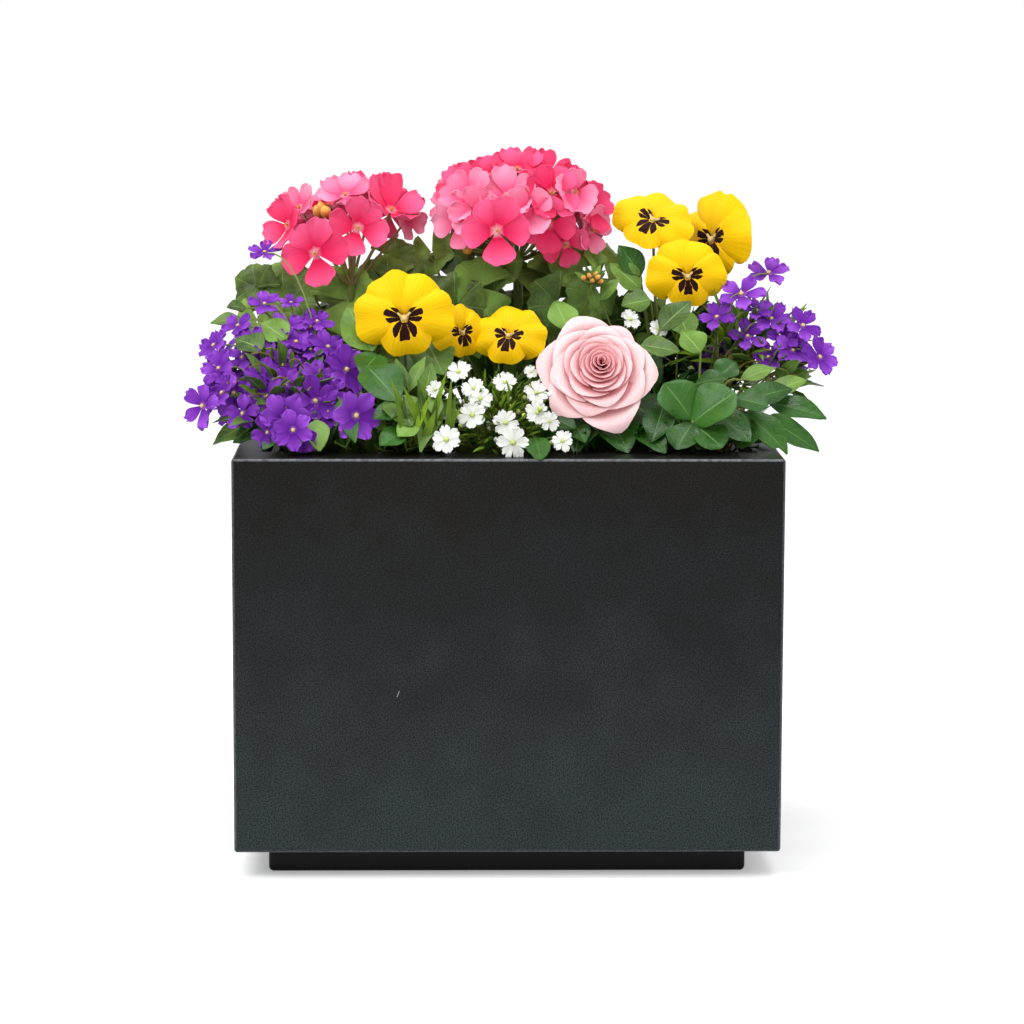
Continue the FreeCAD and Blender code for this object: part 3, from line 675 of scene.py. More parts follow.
def sheaf(stems, foot, middle, count, low, start_radii, end_radii, radius, lean, skin):
    """A sheaf of stalks from a plant's foot to its mound."""
    for way in around(count, low, 0.9):
        stems.stalk(foot + way * start_radii, middle + way * end_radii, radius, lean, skin)


def geranium_leaves(leaves, stems, foot, crown, radii, count, size, low):
    """Round leaves on stalks over a mound, and the mound's stalks."""
    for way in around(count, low, 0.97, start=rng.random() * 6):
        at = np.asarray(crown) + way * radii * (0.78 + 0.3 * rng.random())
        face = unit(way * (1, 1, 0.6) + (0, -0.15, 0.75) + (rng.random(3) - 0.5) * 1.1)
        round_leaf(leaves, at, face, size * (0.7 + 0.5 * rng.random()), 0, rng.random() * 6)
        stems.stalk(foot + (rng.random(3) - 0.5) * (24, 24, 0), at - face * 1.0, 1.3, way * (10, 10, -6))


def placed_leaves(leaves, stems, foot, places):
    """Round leaves where the photo shows them; each is (place, facing, radius, which skin)."""
    for at, facing, radius, slot in places:
        round_leaf(leaves, at, facing, radius, slot, rng.random() * 6)
        stems.stalk(foot, at, 1.3, (0, -6, -4))


def umbel(petals, stems, neck, blooms, thick=0.8, skin=0):
    """Florets on pedicels from a stem's neck; each bloom is (place, size, facing, pale or not, cup, roll)."""
    for at, size, facing, pale, cup, roll in blooms:
        at = np.asarray(at, float)
        way = np.asarray(facing, float)
        floret(petals, at, way, size, roll, pale, cup)
        stems.stalk(neck, at - unit(way) * 0.8, thick, (at - neck) * (0.12, 0.12, 0), skin, steps=7)


def buds(petals, stems, neck, places, size, slot):
    """Closed florets on thin pedicels."""
    for at in places:
        at = np.asarray(at, float)
        petals.knob(at, at - neck, size / 2, size * 1.3, slot)
        stems.stalk(neck, at, 0.7, (0, 0, 2))


def geranium_left():
    """An open head of loose florets over round leaves."""
    petals, leaves, stems = batches("geranium_left", GERANIUM_SKINS, [LEAF_ROUND], STALKS)
    foot = np.array([-112.0, 52.0, SOIL])
    neck = np.array((-117, 6, 423), float)
    stems.stalk(foot, neck, 3.6, (-4, 0, 0), sides=8, steps=9)
    umbel(petals, stems, neck, [
        ((-144, -2, 448), 53, (-0.22, -1, 0.12), 0, 0.1, 0.2),
        ((-112, 5, 467), 48, (0.08, -1, 0.2), 0, 0.16, -0.3),
        ((-122, 30, 490), 45, (-0.15, -0.5, 1.0), 1, 0.25, 0.5),
        ((-87, 25, 479), 50, (0.35, -0.5, 0.85), 0, 0.5, 0.1),
        ((-165, 20, 468), 44, (-0.8, -0.6, 0.25), 0, 0.35, 0.4),
        ((-74, 52, 473), 38, (0.75, -0.5, -0.1), 1, 0.2, 1.2),
        ((-134, 48, 481), 36, (-0.4, -0.3, 0.85), 1, 0.4, 2.0),
        ((-102, 62, 493), 44, (0.1, -0.1, 1.0), 0, 0.4, 2.6),
        ((-120, 88, 480), 44, (-0.2, 1, 0.35), 1, 0.2, 1.0),
        ((-89, 88, 473), 44, (0.6, 0.9, 0.2), 0, 0.2, 0.3),
        ((-149, 80, 464), 42, (-0.8, 0.7, 0.2), 0, 0.2, 2.1),
        ((-157, 44, 480), 36, (-0.6, -0.5, 0.6), 1, 0.3, 1.4),
        ((-116, 84, 482), 42, (-0.1, 0.4, 1), 0, 0.2, 0.8),
        ((-86, 60, 478), 40, (0.5, 0.2, 0.9), 1, 0.2, 1.7),
        ((-142, 66, 476), 38, (-0.5, 0.2, 0.8), 0, 0.2, 0.9),
    ], 1.25, 1)
    buds(petals, stems, neck, [(-139, 22, 480), (-136, 18, 477), (-142, 26, 477)], 9, 2)
    geranium_leaves(leaves, stems, foot, (-112, 66, 364), (52, 36, 46), 52, 21, -0.4)
    placed_leaves(leaves, stems, foot, [
        ((-190, 30, 420), (-0.5, -0.8, 0.5), 19, 0), ((-170, 36, 423), (-0.1, -0.9, 0.6), 22, 0),
        ((-167, 20, 407), (-0.2, -0.9, 0.4), 24, 0), ((-188, 5, 396), (-0.4, -0.8, 0.5), 22, 0),
        ((-122, 8, 412), (0.1, -0.9, 0.35), 26, 0), ((-148, 22, 411), (-0.1, -0.9, 0.45), 25, 0),
        ((-84, 40, 439), (0.2, -0.8, 0.6), 22, 0), ((-90, 26, 423), (0.2, -0.9, 0.4), 24, 0),
    ])
    plant("geranium", "geranium_left", petals, leaves, stems)


def geranium_centre():
    """The big domed umbel in the middle, with a cluster of green buds at its right."""
    petals, leaves, stems = batches("geranium_centre", GERANIUM_SKINS, [LEAF_ROUND, LEAF_SOFT], STALKS)
    foot = np.array([8.0, 52.0, SOIL])
    neck = np.array((10, 42, 439), float)
    head = np.array((13, 48, 462), float)
    stems.stalk(foot, neck, 5.0, (3, 0, 0), sides=10, steps=10)
    umbel(petals, stems, neck, [
        ((-7, -30, 467), 54, (-0.02, -1, 0.05), 0, 0.04, 0.1),
        ((1, -8, 491), 48, (-0.05, -0.8, 0.6), 1, 0.16, 0.6),
        ((34, -6, 494), 46, (0.25, -0.9, 0.35), 0, 0.14, 0.9),
        ((65, 18, 482), 42, (0.7, -0.7, 0.35), 0, 0.2, 0.2),
        ((32, -10, 471), 44, (0.25, -1, -0.1), 0, 0.1, 1.5),
        ((65, 20, 465), 40, (0.75, -0.6, -0.1), 1, 0.2, 0.4),
        ((-27, -2, 491), 44, (-0.45, -0.8, 0.4), 1, 0.16, 1.2),
        ((-36, 4, 473), 44, (-0.55, -0.8, 0.05), 1, 0.14, 0.3),
        ((9, 24, 510), 44, (0, -0.55, 0.9), 0, 0.25, 0.7),
        ((-15, 20, 505), 40, (-0.35, -0.6, 0.75), 0, 0.25, 1.8),
        ((-35, 20, 497), 40, (-0.6, -0.55, 0.6), 0, 0.25, 0.5),
        ((32, 24, 507), 42, (0.25, -0.5, 0.85), 0, 0.3, 0.2),
        ((50, 20, 497), 42, (0.5, -0.6, 0.65), 0, 0.25, 1.1),
        ((-44, 32, 484), 38, (-0.9, -0.3, 0.3), 1, 0.3, 0.9),
        ((15, -16, 481), 42, (0.15, -1, 0.2), 1, 0.2, 2.2),
        ((-21, -10, 479), 42, (-0.3, -1, 0.2), 1, 0.2, 1.9),
        ((52, 4, 494), 40, (0.5, -0.8, 0.4), 1, 0.2, 2.9),
        ((45, 4, 455), 38, (0.4, -0.9, -0.35), 0, 0.1, 0.4),
        ((10, 48, 506), 44, (0, -0.1, 1), 1, 0.15, 0.3),
        ((-18, 46, 501), 42, (-0.3, -0.1, 1), 0, 0.15, 1.1),
        ((39, 48, 502), 42, (0.3, -0.1, 1), 0, 0.15, 2.0),
        ((-36, 52, 492), 38, (-0.7, 0.1, 0.8), 1, 0.15, 0.6),
        ((58, 50, 491), 40, (0.7, 0.1, 0.8), 0, 0.15, 1.6), ((12, 72, 501), 42, (0, 0.3, 1), 0, 0.15, 0.9),
        ((-16, 72, 494), 40, (-0.4, 0.3, 0.9), 1, 0.15, 1.9),
        ((40, 74, 494), 40, (0.4, 0.4, 0.9), 0, 0.15, 0.1),
    ])
    for way in around(24, -0.25, 0.98, start=1.0):
        if way[1] > 0.05:    # the far side
            at = head + way * (56, 52, 42) + (0, 2, 0)
            floret(petals, at, way + (0, 0, 0.1), 44, rng.random() * 6, int(rng.random() > 0.6))
            stems.stalk(neck, at - way, 0.8, (at - neck) * (0.12, 0.12, 0), steps=6)
    geranium_leaves(leaves, stems, foot, (2, 72, 366), (56, 30, 48), 56, 21, -0.4)
    placed_leaves(leaves, stems, foot, [
        ((-56, 44, 446), (-0.3, -0.8, 0.6), 20, 0), ((-44, 30, 429), (-0.2, -0.9, 0.4), 24, 0),
        ((-19, 18, 421), (-0.1, -0.9, 0.4), 24, 1), ((40, 8, 409), (0.2, -0.9, 0.3), 24, 1),
        ((56, 24, 436), (0.3, -0.8, 0.5), 22, 0), ((36, 30, 429), (0.1, -0.9, 0.4), 20, 0),
        ((65, 12, 415), (0.3, -0.9, 0.4), 20, 1), ((-38, 10, 408), (0, -0.9, 0.4), 24, 0),
        ((76, 34, 440), (0.5, -0.8, 0.5), 18, 0), ((-22, 34, 443), (-0.1, -0.8, 0.7), 18, 0),
        ((-6, 34, 435), (-0.2, -0.8, 0.6), 20, 1), ((26, 36, 432), (0.2, -0.8, 0.6), 21, 0),
        ((-27, 50, 438), (-0.2, -0.8, 0.6), 20, 0), ((43, 50, 434), (0.3, -0.8, 0.6), 20, 1),
    ])
    buds(petals, stems, neck, [(-33, 20, 453), (-28, 24, 449), (46, 14, 450)], 7, 2)
    bud = np.array((65, -4, 426), float)
    stems.stalk(foot, bud, 1.6, (14, 0, 0))
    for way in around(9, 0.15, 0.9):
        blade(leaves, bud, bud + way * (15, 10, 17), 5, "lance", (0, -1, 0.3), 1, steps=(3, 5))
        petals.knob(bud + way * (6, 4, 7), way, 2.2, 6, 2)
    plant("geranium", "geranium_centre", petals, leaves, stems)


def pansy_plant(name, foot, crown, radii, blooms, count, keyed=(), mounds=(), front=None):
    """A clump of soft leaves with pansies above it.

    Each bloom is (place, facing, size, roll) and each further mound of leaves (middle, radii, count, skin,
    tones); front is a hem's ends and its count.
    """
    petals, leaves, stems = batches(name, [YELLOW, YELLOW_MARKED, EYE], [LEAF_SOFT, LEAF_BROAD], [STALK])
    foot = np.array([*foot, SOIL], float)
    crown, radii = np.array(crown), np.array(radii)
    for at, facing, size, roll in blooms:
        pansy(petals, at, facing, size, roll)
        neck = np.asarray(at, float) - unit(facing) * 3
        stems.stalk(foot + (rng.random(3) - 0.5) * (20, 20, 0), neck, 1.4, (0, 8, 14), sides=6, steps=9)
        for k in range(5):
            way = turned(facing, k * 1.257)[0]
            tip = neck + way * 9 - unit(facing) * 2
            blade(leaves, neck, tip, 4.5, "lance", -np.asarray(facing), steps=(3, 4))
    cushion(leaves, crown, radii, count, 30, 16, "ovate", 0, -0.4, steps=(5, 7))
    # the inner mound takes the darker skin and low tones: painted shade inside the clump
    cushion(leaves, crown, radii * 0.7, count // 2, 26, 14, "obovate", 1, -0.4, tones=(0.0, 0.4))
    if front:
        hem(leaves, *front)
    for middle, reach, number, skin, tones in mounds:
        cushion(leaves, middle, reach, number, 26, 14, "ovate", skin, -0.3, tones=tones)
    for base, tip, width, kind, slot in keyed:
        blade(leaves, base, tip, width, kind, slot=slot, tone=0.3 + 0.6 * rng.random())
        stems.stalk(foot, base, 1.1, (0, 0, 8))
    for k in range(9):
        way = np.array([math.cos(k * 2.4), math.sin(k * 2.4), 0])
        stems.stalk(foot + way * 6, crown + way * radii * 0.7, 1.2, way * 5)
    plant("pansy", name, petals, leaves, stems)


def violet_plant(name, foot, crown, radii, flowers, far_side, keyed, centre, fine, mounds=(), front=None):
    """A loose cushion of fine leaves with violet flowers.

    Each flower is (x, y, z, size). far_side holds the directions of those that the photo hides, fine is the
    count of fine leaves, mounds are further cushions, and front is a hem's ends, count and skin.
    """
    petals, leaves, stems = batches(name, [VIOLET, EYE], [LEAF_FINE, LEAF_SOFT, LEAF_BROAD], STALKS)
    foot = np.array([*foot, SOIL], float)
    crown, radii = np.array(crown), np.array(radii)
    centre = np.asarray(centre, float)
    for x, y, z, size in flowers:
        at = np.array([x, y, z], float)
        facing = unit(at - centre) * 0.7 + (0, -0.8, 0.3) + (rng.random(3) - 0.5) * 0.5
        small_flower(petals, at, facing, size * 1.2, 5 if rng.random() < 0.7 else 6, 0.05, 0.1, 0.05)
        stems.stalk(foot + (rng.random(3) - 0.5) * (30, 30, 0), at - unit(facing), 0.8, (0, 0, 16), steps=8)
    for way in far_side:
        at = centre + way * radii * (0.95 + 0.1 * rng.random())
        small_flower(petals, at, way + (0, 0, 0.3), 36, 5, 0.05, 0.1, 0.05)
        stems.stalk(foot, at - way, 0.8, (0, 0, 16), steps=8)
    cushion(leaves, crown, radii * 0.76, fine, 16, 5, "obovate", 0, -0.45, 0.4, steps=(3, 5))
    # the inner mound keeps to low tones: painted shade inside the cushion
    cushion(leaves, crown, radii * 0.6, fine // 2, 26, 12, "ovate", 1, -0.4, steps=(5, 6), tones=(0, 0.5))
    if front:
        hem(leaves, *front)
    for mound in mounds:
        cushion(leaves, *mound)
    for base, tip, width, kind, slot in keyed:
        blade(leaves, base, tip, width, kind, slot=slot)
        stems.stalk(foot, base, 1.1, (0, 0, 10))
    sheaf(stems, foot, crown, 26, 0.0, (8, 8, 0), radii * 0.85, 0.9, (0, 0, 6), 1)
    plant("aubrieta", name, petals, leaves, stems)


def white_plant():
    """Low white flowers along the front, among fine leaves."""
    petals, leaves, stems = batches("alyssum", [WHITE, EYE, BUD], [LEAF_FINE, LEAF_BROAD], [STALK])
    foot = np.array([-4.0, -78.0, SOIL])
    centre = np.array([-4.0, -80.0, 322.0])
    for x, y, z, size in WHITE_FLOWERS:
        at = np.array([x, y, z], float)
        facing = unit(at - centre) * 0.5 + (0, -0.9, 0.35) + (rng.random(3) - 0.5) * 0.4
        small_flower(petals, at, facing, size * 1.04, 6, 0.2, 0.03, 0.085, 2)
        stems.stalk(foot + (rng.random(3) - 0.5) * (30, 16, 0), at - unit(facing), 0.6, (0, 0, 8), steps=7)
    for k in range(44):
        at = centre + (rng.random(3) - 0.5) * (72, 64, 44) + (0, -10, 16)
        petals.knob(at, (0, -0.3, 1), 1.9, 4.6, k % 3 and 2, 6)
        stems.stalk(foot, at, 0.45, (0, 0, 8))
    hem(leaves, -46, 30, 12, 1, kind="lance")
    for k in range(18):
        base = np.array([-76 + 1.9 * k, -118 - 4 * math.sin(2 * k), 318 + 5 * math.sin(5 * k)])
        tip = base + (14 * math.sin(3.7 * k), -6, 34 + 14 * math.sin(7.1 * k))
        facing = (0.3 * math.sin(k), -0.8, 0.6)
        blade(leaves, base, tip, 6 + 1.5 * math.sin(4 * k), "lance", facing, tone=(k % 5) / 4)
        stems.stalk(foot, base, 0.6, (0, 0, 6))
    cushion(leaves, centre + (0, -2, 2), (36, 46, 42), 300, 11, 2.6, "lance", 0, -0.5, 0.5, steps=(3, 4))
    # the inner mound keeps to low tones: painted shade inside the clump
    cushion(leaves, centre, (24, 34, 26), 90, 12, 3.4, "lance", 0, -0.4, 0.5, steps=(3, 4), tones=(0, 0.4))
    for base, tip, width, kind, slot in WHITE_LEAVES:
        blade(leaves, base, tip, width, kind, slot=slot)
    plant("alyssum", "alyssum_white", petals, leaves, stems)


def rose():
    """A full open rose: a spiral of cupped petals that turn back further out."""
    petals, leaves, stems = batches("rose", [ROSE], [LEAF_BROAD, LEAF_SOFT], STALKS)
    at = np.array((66, -94, 366), float)
    pose = turned((-0.02, -0.9, 0.42))
    outer = (0, -69, -138, 168, 113, 59, -34, -104, -172, 140, 86, 26)    # degrees, outermost petal first
    count = 38
    inner = count - len(outer)
    for k in range(count):
        late = count - 1 - k
        start = math.radians(outer[late]) if late < len(outer) else 2.4 * k
        ring = 1.0 if late < 6 else 0.84 if late < len(outer) else 0.76 * ((k + 1) / inner) ** 0.95
        reach = (2.5 + 40.5 * ring) * (0.88 if late == 5 else 1 + 0.05 * math.sin(2.3 * k))
        span = 1.6 - 0.92 * ring
        u, v = grid(13, 10)
        edge = v * (1 - 0.12 * u ** 2) + 0.1 * ring * np.exp(-(u / 0.28) ** 2) * v ** 4
        turn = start + u * span * (0.7 + 0.3 * v)
        radius = reach * (0.2 + 0.8 * edge ** (1.25 - 0.35 * ring)) * (1 - 0.1 * ring * u ** 2 * v)
        radius = radius * (0.6 + 0.4 * ring) + 0.8 * np.sin(3 * u + 2 * k) * v ** 2 * ring
        curl = np.maximum(0, edge - 0.82) ** 2 * 22 * ring
        low = 9 - 18 * min(1, ring * 1.6)
        z = low + (23 - 16 * ring ** 1.3 - low) * edge ** 0.85 - curl * 5 - 3 * ring * u ** 2 * v ** 3
        z = z + 0.7 * np.sin(4 * u + k) * v ** 3 * ring
        shift = (1 - ring) * 3.0, (1 - ring) * 3.6
        local = np.stack([radius * np.cos(turn) + shift[0], radius * np.sin(turn) + shift[1], z], 2)
        shade = 0.16 + 0.84 * edge ** 1.3 * (0.45 + 0.55 * ring)
        petals.sheet(at + local @ pose, u, shade, 0.1 + 0.4 * rng.random(), 0.5)
    foot = np.array([66.0, -58.0, SOIL])
    stems.stalk(foot, at - pose[2] * 9, 3.0, (0, 14, 0), sides=8, steps=9)
    stems.knob(at - pose[2] * 10, pose[2], 7, 12)
    for k in range(5):
        way = turned(pose[2], k * 1.257)[0]
        blade(leaves, at - pose[2] * 8, at - pose[2] * 12 + way * 30, 9, "lance", -pose[2], 1, steps=(5, 6))
    cushion(leaves, (66, -40, 314), (32, 22, 20), 30, 30, 18, "ovate", 0, -0.3, steps=(5, 7))
    hem(leaves, 40, 112, 14)
    for base, tip, width, kind, slot in ROSE_LEAVES:
        blade(leaves, base, tip, width, kind, slot=slot, steps=(9, 11))
        stems.stalk(foot, base, 1.3, (0, -6, 6))
    sheaf(stems, foot, (66, -50, 314), 12, 0.1, 5, (26, 20, 16), 1.2, (0, 0, 4), 1)
    plant("rose", "rose", petals, leaves, stems)


def broad_plant():
    """Broad leaves over the right end."""
    leaves = Batch("periwinkle_leaves", LEAF_BROAD, LEAF_SOFT)
    stems = Batch("periwinkle_stems", *STALKS)
    foot = np.array([140.0, -70.0, SOIL])
    for base, tip, width, kind, slot in BROAD_LEAVES:
        tone = 0.25 + 0.6 * rng.random()
        blade(leaves, base, tip, width, kind, slot=slot, tone=tone, droop=0.1, steps=(9, 11))
        stems.stalk(foot, base, 1.2, (0, 0, 10))
    cushion(leaves, (152, -62, 306), (42, 22, 18), 18, 30, 18, "obovate", 0, 0.0, tones=(0, 0.4),
            steps=(5, 7))
    hem(leaves, 118, 158, 12, 1)
    sheaf(stems, foot, (146, -70, 308), 14, 0.05, 6, (32, 26, 14), 1.1, (0, 0, 8), 1)
    leaves.make(INSERT, "foliage", "periwinkle_right")
    stems.make(INSERT, "foliage")


# places of single flowers as (x, y, z, size), and of leaves as (base, tip, width, kind, which skin)
VIOLET_LEFT = [
    (-183, 14, 448, 24), (-182, -14, 411, 23), (-162, -14, 412, 17), (-201, -33, 396, 22),
    (-218, -51, 383, 25), (-164, -33, 396, 27), (-142, -28, 399, 22), (-157, -49, 385, 30),
    (-179, -66, 373, 30), (-196, -63, 375, 25), (-133, -54, 382, 27), (-119, -75, 367, 35),
    (-213, -73, 368, 25), (-140, -83, 362, 25), (-141, -104, 347, 33), (-201, -90, 351, 31),
    (-224, -90, 342, 29), (-177, -100, 350, 29), (-163, -89, 357, 25), (-162, -120, 337, 33),
    (-111, -118, 338, 35), (-156, -132, 329, 26), (-166, -70, 370, 24), (-146, -56, 380, 25),
    (-181, -83, 362, 26), (-191, -46, 387, 22), (-130, -96, 353, 22),
    (-204, -65, 364, 27), (-190, -84, 351, 28), (-183, -34, 385, 25), (-167, -44, 379, 27),
    (-153, -65, 364, 27), (-171, -95, 344, 28), (-152, -90, 348, 26), (-131, -58, 369, 25),
    (-212, -46, 377, 25), (-194, -105, 338, 23), (-147, -23, 394, 24), (-172, -31, 388, 25),
    (-132, -103, 339, 25), (-150, -126, 321, 22), (-187, -61, 367, 27), (-213, -80, 354, 24),
    (-175, -122, 326, 22),
]
VIOLET_RIGHT = [
    (202, 26, 432, 30), (179, -3, 418, 32), (160, -10, 401, 26), (183, -15, 387, 26), (201, -10, 400, 27),
    (225, -12, 395, 27), (217, -20, 377, 26), (237, -22, 372, 27), (198, -22, 372, 21), (190, -8, 406, 23),
    (210, -16, 386, 23),
]
WHITE_FLOWERS = [
    (-36, -90, 367, 20), (-25, -100, 356, 19), (-2, -96, 360, 19), (-20, -107, 349, 20),
    (-26, -116, 338, 23), (-2, -121, 333, 20), (3, -134, 320, 24), (-45, -132, 322, 23),
    (21, -115, 340, 20), (21, -103, 353, 19), (17, -90, 367, 12), (30, -120, 334, 16), (39, -133, 321, 17),
    (93, -34, 401, 18), (114, -34, 394, 17), (-53, -101, 355, 15),
]
WHITE_LEAVES = [
    ((20, -120, 322), (23, -152, 310), 18, "ovate", 1),
    ((35, -110, 334), (49, -118, 329), 16, "ovate", 1),
]
ROSE_LEAVES = [
    ((69, -70, 344), (87, -120, 315), 40, "ovate", 0), ((61, -76, 341), (49, -122, 316), 34, "ovate", 0),
    ((88, -66, 345), (113, -104, 330), 34, "ovate", 0), ((97, -100, 325), (114, -128, 314), 20, "ovate", 0),
    ((46, -40, 394), (37, -30, 415), 24, "ovate", 1), ((47, -100, 333), (56, -124, 320), 18, "ovate", 0),
    ((115, -40, 394), (138, -34, 416), 22, "ovate", 1), ((99, -60, 384), (128, -66, 381), 22, "ovate", 1),
]
BROAD_LEAVES = [
    ((135, -100, 333), (116, -96, 360), 36, "obovate", 0),
    ((134, -104, 330), (165, -110, 355), 40, "obovate", 0),
    ((138, -80, 357), (162, -92, 364), 20, "ovate", 0),
    ((135, -108, 331), (122, -128, 316), 26, "obovate", 0),
    ((138, -108, 329), (155, -128, 317), 28, "obovate", 0),
    ((153, -96, 338), (177, -118, 320), 26, "ovate", 0),
    ((176, -84, 337), (206, -104, 310), 26, "ovate", 0), ((190, -84, 333), (232, -84, 309), 24, "ovate", 0),
    ((194, -64, 342), (238, -70, 333), 24, "ovate", 0), ((176, -80, 344), (213, -60, 354), 24, "ovate", 0),
    ((155, -74, 360), (169, -70, 373), 22, "obovate", 0),
    ((144, -60, 379), (131, -54, 395), 24, "ovate", 1),
    ((180, -90, 332), (170, -112, 315), 22, "obovate", 0),
    ((164, -86, 348), (191, -98, 344), 24, "obovate", 0),
    ((115, -92, 343), (105, -120, 320), 24, "ovate", 0), ((174, -60, 358), (201, -50, 368), 16, "lance", 1),
    ((197, -50, 348), (225, -44, 358), 18, "ovate", 1),
]
VIOLET_LEFT_LEAVES = [
    ((-180, -100, 334), (-219, -84, 315), 24, "ovate", 1),
    ((-175, -104, 330), (-202, -104, 318), 20, "ovate", 2),
    ((-140, -112, 334), (-137, -132, 315), 18, "ovate", 1),
    ((-163, -112, 327), (-178, -128, 316), 16, "ovate", 2),
    ((-197, -4, 407), (-210, -10, 409), 14, "ovate", 1),
    ((-199, -14, 400), (-222, -22, 398), 14, "lance", 1),
    ((-164, -50, 387), (-182, -46, 400), 26, "ovate", 1),
    ((-181, -66, 381), (-201, -56, 389), 24, "ovate", 1),
    ((-123, -104, 348), (-111, -130, 321), 16, "ovate", 2),
    ((-152, -118, 326), (-158, -136, 315), 14, "ovate", 1),
]
PANSY_LEFT_LEAVES = [
    ((-100, -60, 379), (-118, -44, 412), 34, "ovate", 0),
    ((-96, -66, 377), (-107, -90, 367), 26, "ovate", 1),
    ((-104, -84, 371), (-80, -112, 349), 34, "ovate", 1),
    ((-73, -92, 352), (-61, -82, 378), 12, "lance", 0), ((-76, -96, 353), (-82, -86, 377), 12, "lance", 0),
    ((-61, -96, 347), (-56, -92, 375), 14, "lance", 0),
    ((-85, -104, 351), (-70, -126, 333), 28, "ovate", 0),
    ((-51, -96, 353), (-64, -134, 316), 20, "lance", 0),
    ((-76, -120, 326), (-93, -136, 319), 20, "ovate", 1),
    ((-67, -120, 332), (-80, -132, 325), 18, "ovate", 0),
    ((-62, -40, 389), (-47, -64, 364), 34, "ovate", 0),
    ((-79, -112, 343), (-98, -124, 337), 18, "ovate", 1),
]
PANSY_RIGHT_LEAVES = [
    ((103, 10, 420), (81, 14, 441), 24, "ovate", 0), ((110, 0, 413), (88, -4, 410), 26, "ovate", 0),
    ((103, 16, 430), (88, 24, 454), 22, "ovate", 1), ((131, -4, 404), (139, -16, 386), 24, "ovate", 0),
    ((114, 8, 420), (124, 14, 444), 22, "ovate", 0), ((164, 10, 412), (171, 0, 390), 20, "ovate", 0),
    ((72, 0, 413), (85, -2, 430), 14, "lance", 0), ((69, 0, 406), (64, 0, 427), 10, "lance", 0),
]

PANSY_RIGHT_MOUNDS = [
    ((112, 4, 316), (46, 18, 38), 50, 1, (0.0, 0.6)), ((146, 44, 352), (36, 22, 40), 46, 1, (0.0, 0.7)),
    ((86, 44, 372), (24, 20, 34), 40, 0, (0.1, 0.8)),
]
VIOLET_RIGHT_MOUNDS = [
    ((181, 6, 373), (48, 20, 30), 110, 26, 4.6, "lance", 0, -0.6, 0.5, (3, 5)),
    ((177, 20, 350), (50, 18, 24), 34, 30, 13, "ovate", 2, -0.5),
]


def soil():
    """Compost with an uneven top, and loose bark crumbs on it."""
    ground = Batch("compost_fill", COMPOST)
    inset = 2.2
    u, v = grid(81, 51)
    x = u * (SOIL_HIGH[0] - inset)
    y = (2 * v - 1) * (SOIL_HIGH[1] - inset)
    lumps = sum(0.6 ** k * np.sin(x * f + k) * np.cos(y * f * 1.2 - k)
                for k, f in enumerate((0.04, 0.11, 0.23, 0.51)))
    top = np.stack([x, y, SOIL - inset + 0.8 * lumps], 2)
    low = np.stack([x, y, np.full(x.shape, SOIL_LOW[2] + 2.0)], 2)
    faces = shell(top, 0)[1]
    ground.add(np.stack([top, low]), faces, (0, 0.5, 0.5))
    ground.make(INSERT, "soil", "potting_soil")
    crumbs = Batch("bark_crumbs", BARK)
    for k in range(240):
        at = (rng.random(3) - 0.5) * (2 * SOIL_HIGH[0] - 16, 2 * SOIL_HIGH[1] - 16, 0) + (0, 0, SOIL - 0.6)
        crumbs.knob(at, rng.random(3) - 0.5, 1.5 + 2.2 * rng.random(), 3 + 4 * rng.random(), 0, 5)
    crumbs.make(INSERT, "soil")


def fleece():
    """The filter fleece: a flat sheet on the tray, turned up round its edges."""
    low, high = corners("filter_fleece")
    piece = Batch("fleece_sheet", FLEECE)
    count = 96
    turn = 2 * np.pi * np.arange(count) / count
    square = np.stack([np.cos(turn), np.sin(turn)], 1)
    square /= (np.abs(square) ** 9).sum(1)[:, None] ** (1 / 9)
    rings = [(1.0, high[2] - 0.4), (1.0, low[2] + 14), (1.0, low[2] + 3), (0.992, low[2] + 1.2)]
    rings += [(s, low[2] + 0.9) for s in (0.97, 0.8, 0.55, 0.3, 0.01)]
    half = np.array([high[0] - 0.9, high[1] - 0.9])
    points = np.stack([
        np.column_stack([square * half * scale, z + 0.3 * np.sin(9 * turn) * (z > low[2] + 10)])
        for scale, z in rings
    ], 1)
    both, faces = shell(points, 1.2, True)
    piece.add(both, faces, (0, 0.5, 0.5))
    made = piece.make(INSERT, "fleece", "filter_fleece")


# ---------------------------------------------------------------- the box and its hardware
def dress():
    """Gives every CAD node that stays its finish."""
    finishes = {
        "powder_coat": COAT, "zinc_sheet": ZINC_SHEET, "zinc_fastener": ZINC_PARTS, "foot_plastic": NYLON,
        "liner_plastic": LINER_PLASTIC, "trim_rubber": TRIM_RUBBER, "tray_plastic": TRAY_PLASTIC,
    }
    slots = {part["node"]: part["material_slot"] for part in frame["record"]["subparts"]}
    for node, piece in frame["nodes"].items():
        finish = COAT_PLINTH if node == "plinth_frame" else finishes.get(slots[node])
        for slot in piece.material_slots if finish else ():
            slot.material = finish


# ---------------------------------------------------------------- studio and camera
def area_light(name, at, aim, size, power):
    light = bpy.data.lights.new(name, "AREA")
    light.shape = "RECTANGLE"
    light.size, light.size_y = size
    light.energy = power
    made = bpy.data.objects.new(name, light)
    made.location = at
    toward = np.array(aim, float) - at
    made.rotation_euler = Matrix(turned(-toward).T).to_euler()
    bpy.context.scene.collection.objects.link(made)


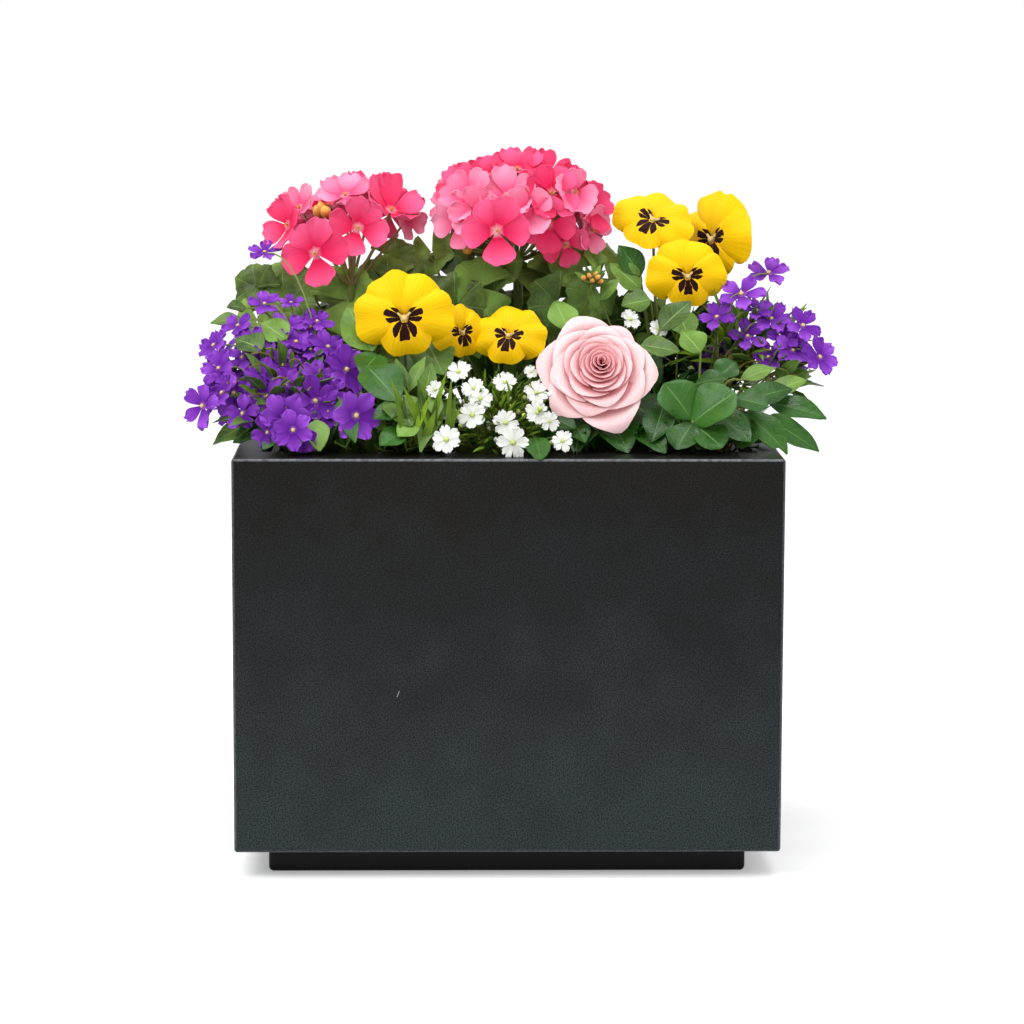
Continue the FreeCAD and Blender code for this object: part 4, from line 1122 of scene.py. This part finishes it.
def studio():
    """A wide white floor, a pale sky that the camera sees as white, and three soft lights."""
    ground = bpy.data.meshes.new("studio_floor")
    far = 400.0
    ground.from_pydata([(-far, -far, 0), (far, -far, 0), (far, far, 0), (-far, far, 0)], [], [(0, 1, 2, 3)])
    floor = bpy.data.objects.new("studio_floor", ground)
    bpy.context.scene.collection.objects.link(floor)
    paper = Shade("studio_paper", Roughness=0.85, Specular_IOR_Level=0.1, Emission_Strength=0.3)
    paper.set("Base Color", (0.9, 0.9, 0.9, 1))
    paper.set("Emission Color", (1, 1, 1, 1))
    ground.materials.append(paper.material)
    world = bpy.data.worlds.new("studio_world")
    bpy.context.scene.world = world
    world.use_nodes = True
    sky = Nodes(world.node_tree)
    height = sky.split(sky.value("ShaderNodeTexCoord", "Generated"))[2]
    light = sky.ramp(height, (0.0, (0.34, 0.34, 0.35, 1)), (0.7, 0.9))
    seen = sky.value("ShaderNodeLightPath", "Is Camera Ray")
    background = next(n for n in sky.tree.nodes if n.type == "BACKGROUND")
    sky.feed(background.inputs["Color"], sky.mix(seen, light, (1, 1, 1, 1)))
    sky.feed(background.inputs["Strength"], 1.0)
    for name, at, size, power in (
        ("key_softbox", (-1.6, -1.5, 2.4), (1.4, 1.4), 40.0),
        ("fill_softbox", (2.2, -1.6, 1.5), (1.6, 1.6), 8.0),
        ("top_strip", (0.0, -0.25, 2.4), (2.2, 0.3), 26.0),
    ):
        area_light(name, at, (0, 0, 0.3), size, power)


def colours():
    """Plain display colours, without a film curve."""
    view = bpy.context.scene.view_settings
    view.view_transform = "Standard"
    view.look = "None"
    view.exposure = 0.0
    view.gamma = 1.0


def camera():
    """A long lens a little left of the middle, looking slightly down and right."""
    yaw, pitch, roll = np.radians([1.183, 7.961, 0.178])
    forward = np.array([math.sin(yaw) * math.cos(pitch), math.cos(yaw) * math.cos(pitch), -math.sin(pitch)])
    level = np.array([math.cos(yaw), -math.sin(yaw), 0.0])
    above = np.cross(level, forward)
    right = level * math.cos(roll) + above * math.sin(roll)
    up = above * math.cos(roll) - level * math.sin(roll)
    lens = bpy.data.cameras.new("camera")
    lens.sensor_width = 36.0
    lens.lens = 121.96
    lens.clip_end = 200.0
    made = bpy.data.objects.new("camera", lens)
    rows = np.column_stack([right, up, -forward])
    made.matrix_world = Matrix.Translation((-0.0489, -2.6288, 0.6183)) @ Matrix(rows.tolist()).to_4x4()
    bpy.context.scene.collection.objects.link(made)
    bpy.context.scene.camera = made


# ---------------------------------------------------------------- the scene
dress()
soil()
fleece()
geranium_left()
geranium_centre()
pansy_plant("pansy_right", (132, 40), (126, 60, 356), (42, 32, 38), [
    ((113, 30, 471), (-0.05, -0.76, 0.64), 66, -0.55), ((161, 40, 457), (-0.8, -0.62, 0.06), 80, 0.1),
    ((138, 2, 431), (0.03, -0.98, 0.14), 62, 0.05),
], 52, PANSY_RIGHT_LEAVES, PANSY_RIGHT_MOUNDS)
pansy_plant("pansy_left", (-72, -46), (-76, -46, 328), (24, 36, 28), [
    ((-76, -66, 405), (-0.08, -0.99, 0.1), 75, 0.06),
], 34, PANSY_LEFT_LEAVES, front=(-98, -52, 12))
pansy_plant("pansy_centre", (-6, -16), (-6, -12, 340), (30, 14, 30), [
    ((-34, -44, 392), (0.5, -0.84, 0.2), 48, 0.1), ((2, -46, 389), (-0.22, -0.85, 0.48), 58, -0.1),
], 26)
violet_plant("aubrieta_left", (-138, -50), (-166, -70, 340), (60, 62, 52), VIOLET_LEFT,
             [w for w in around(30, 0.0, 0.95) if w[1] > 0.25 or w[0] < -0.75][:9], VIOLET_LEFT_LEAVES,
             (-160, -62, 330), 70, front=(-170, -104, 16, 1))
violet_plant("aubrieta_right", (150, -16), (196, -12, 352), (42, 20, 36), VIOLET_RIGHT,
             [w for w in around(16, 0.1, 0.9) if w[1] > 0.3][:4], [], (190, 4, 350), 46,
             VIOLET_RIGHT_MOUNDS)
white_plant()
rose()
broad_plant()
studio()
colours()
camera()
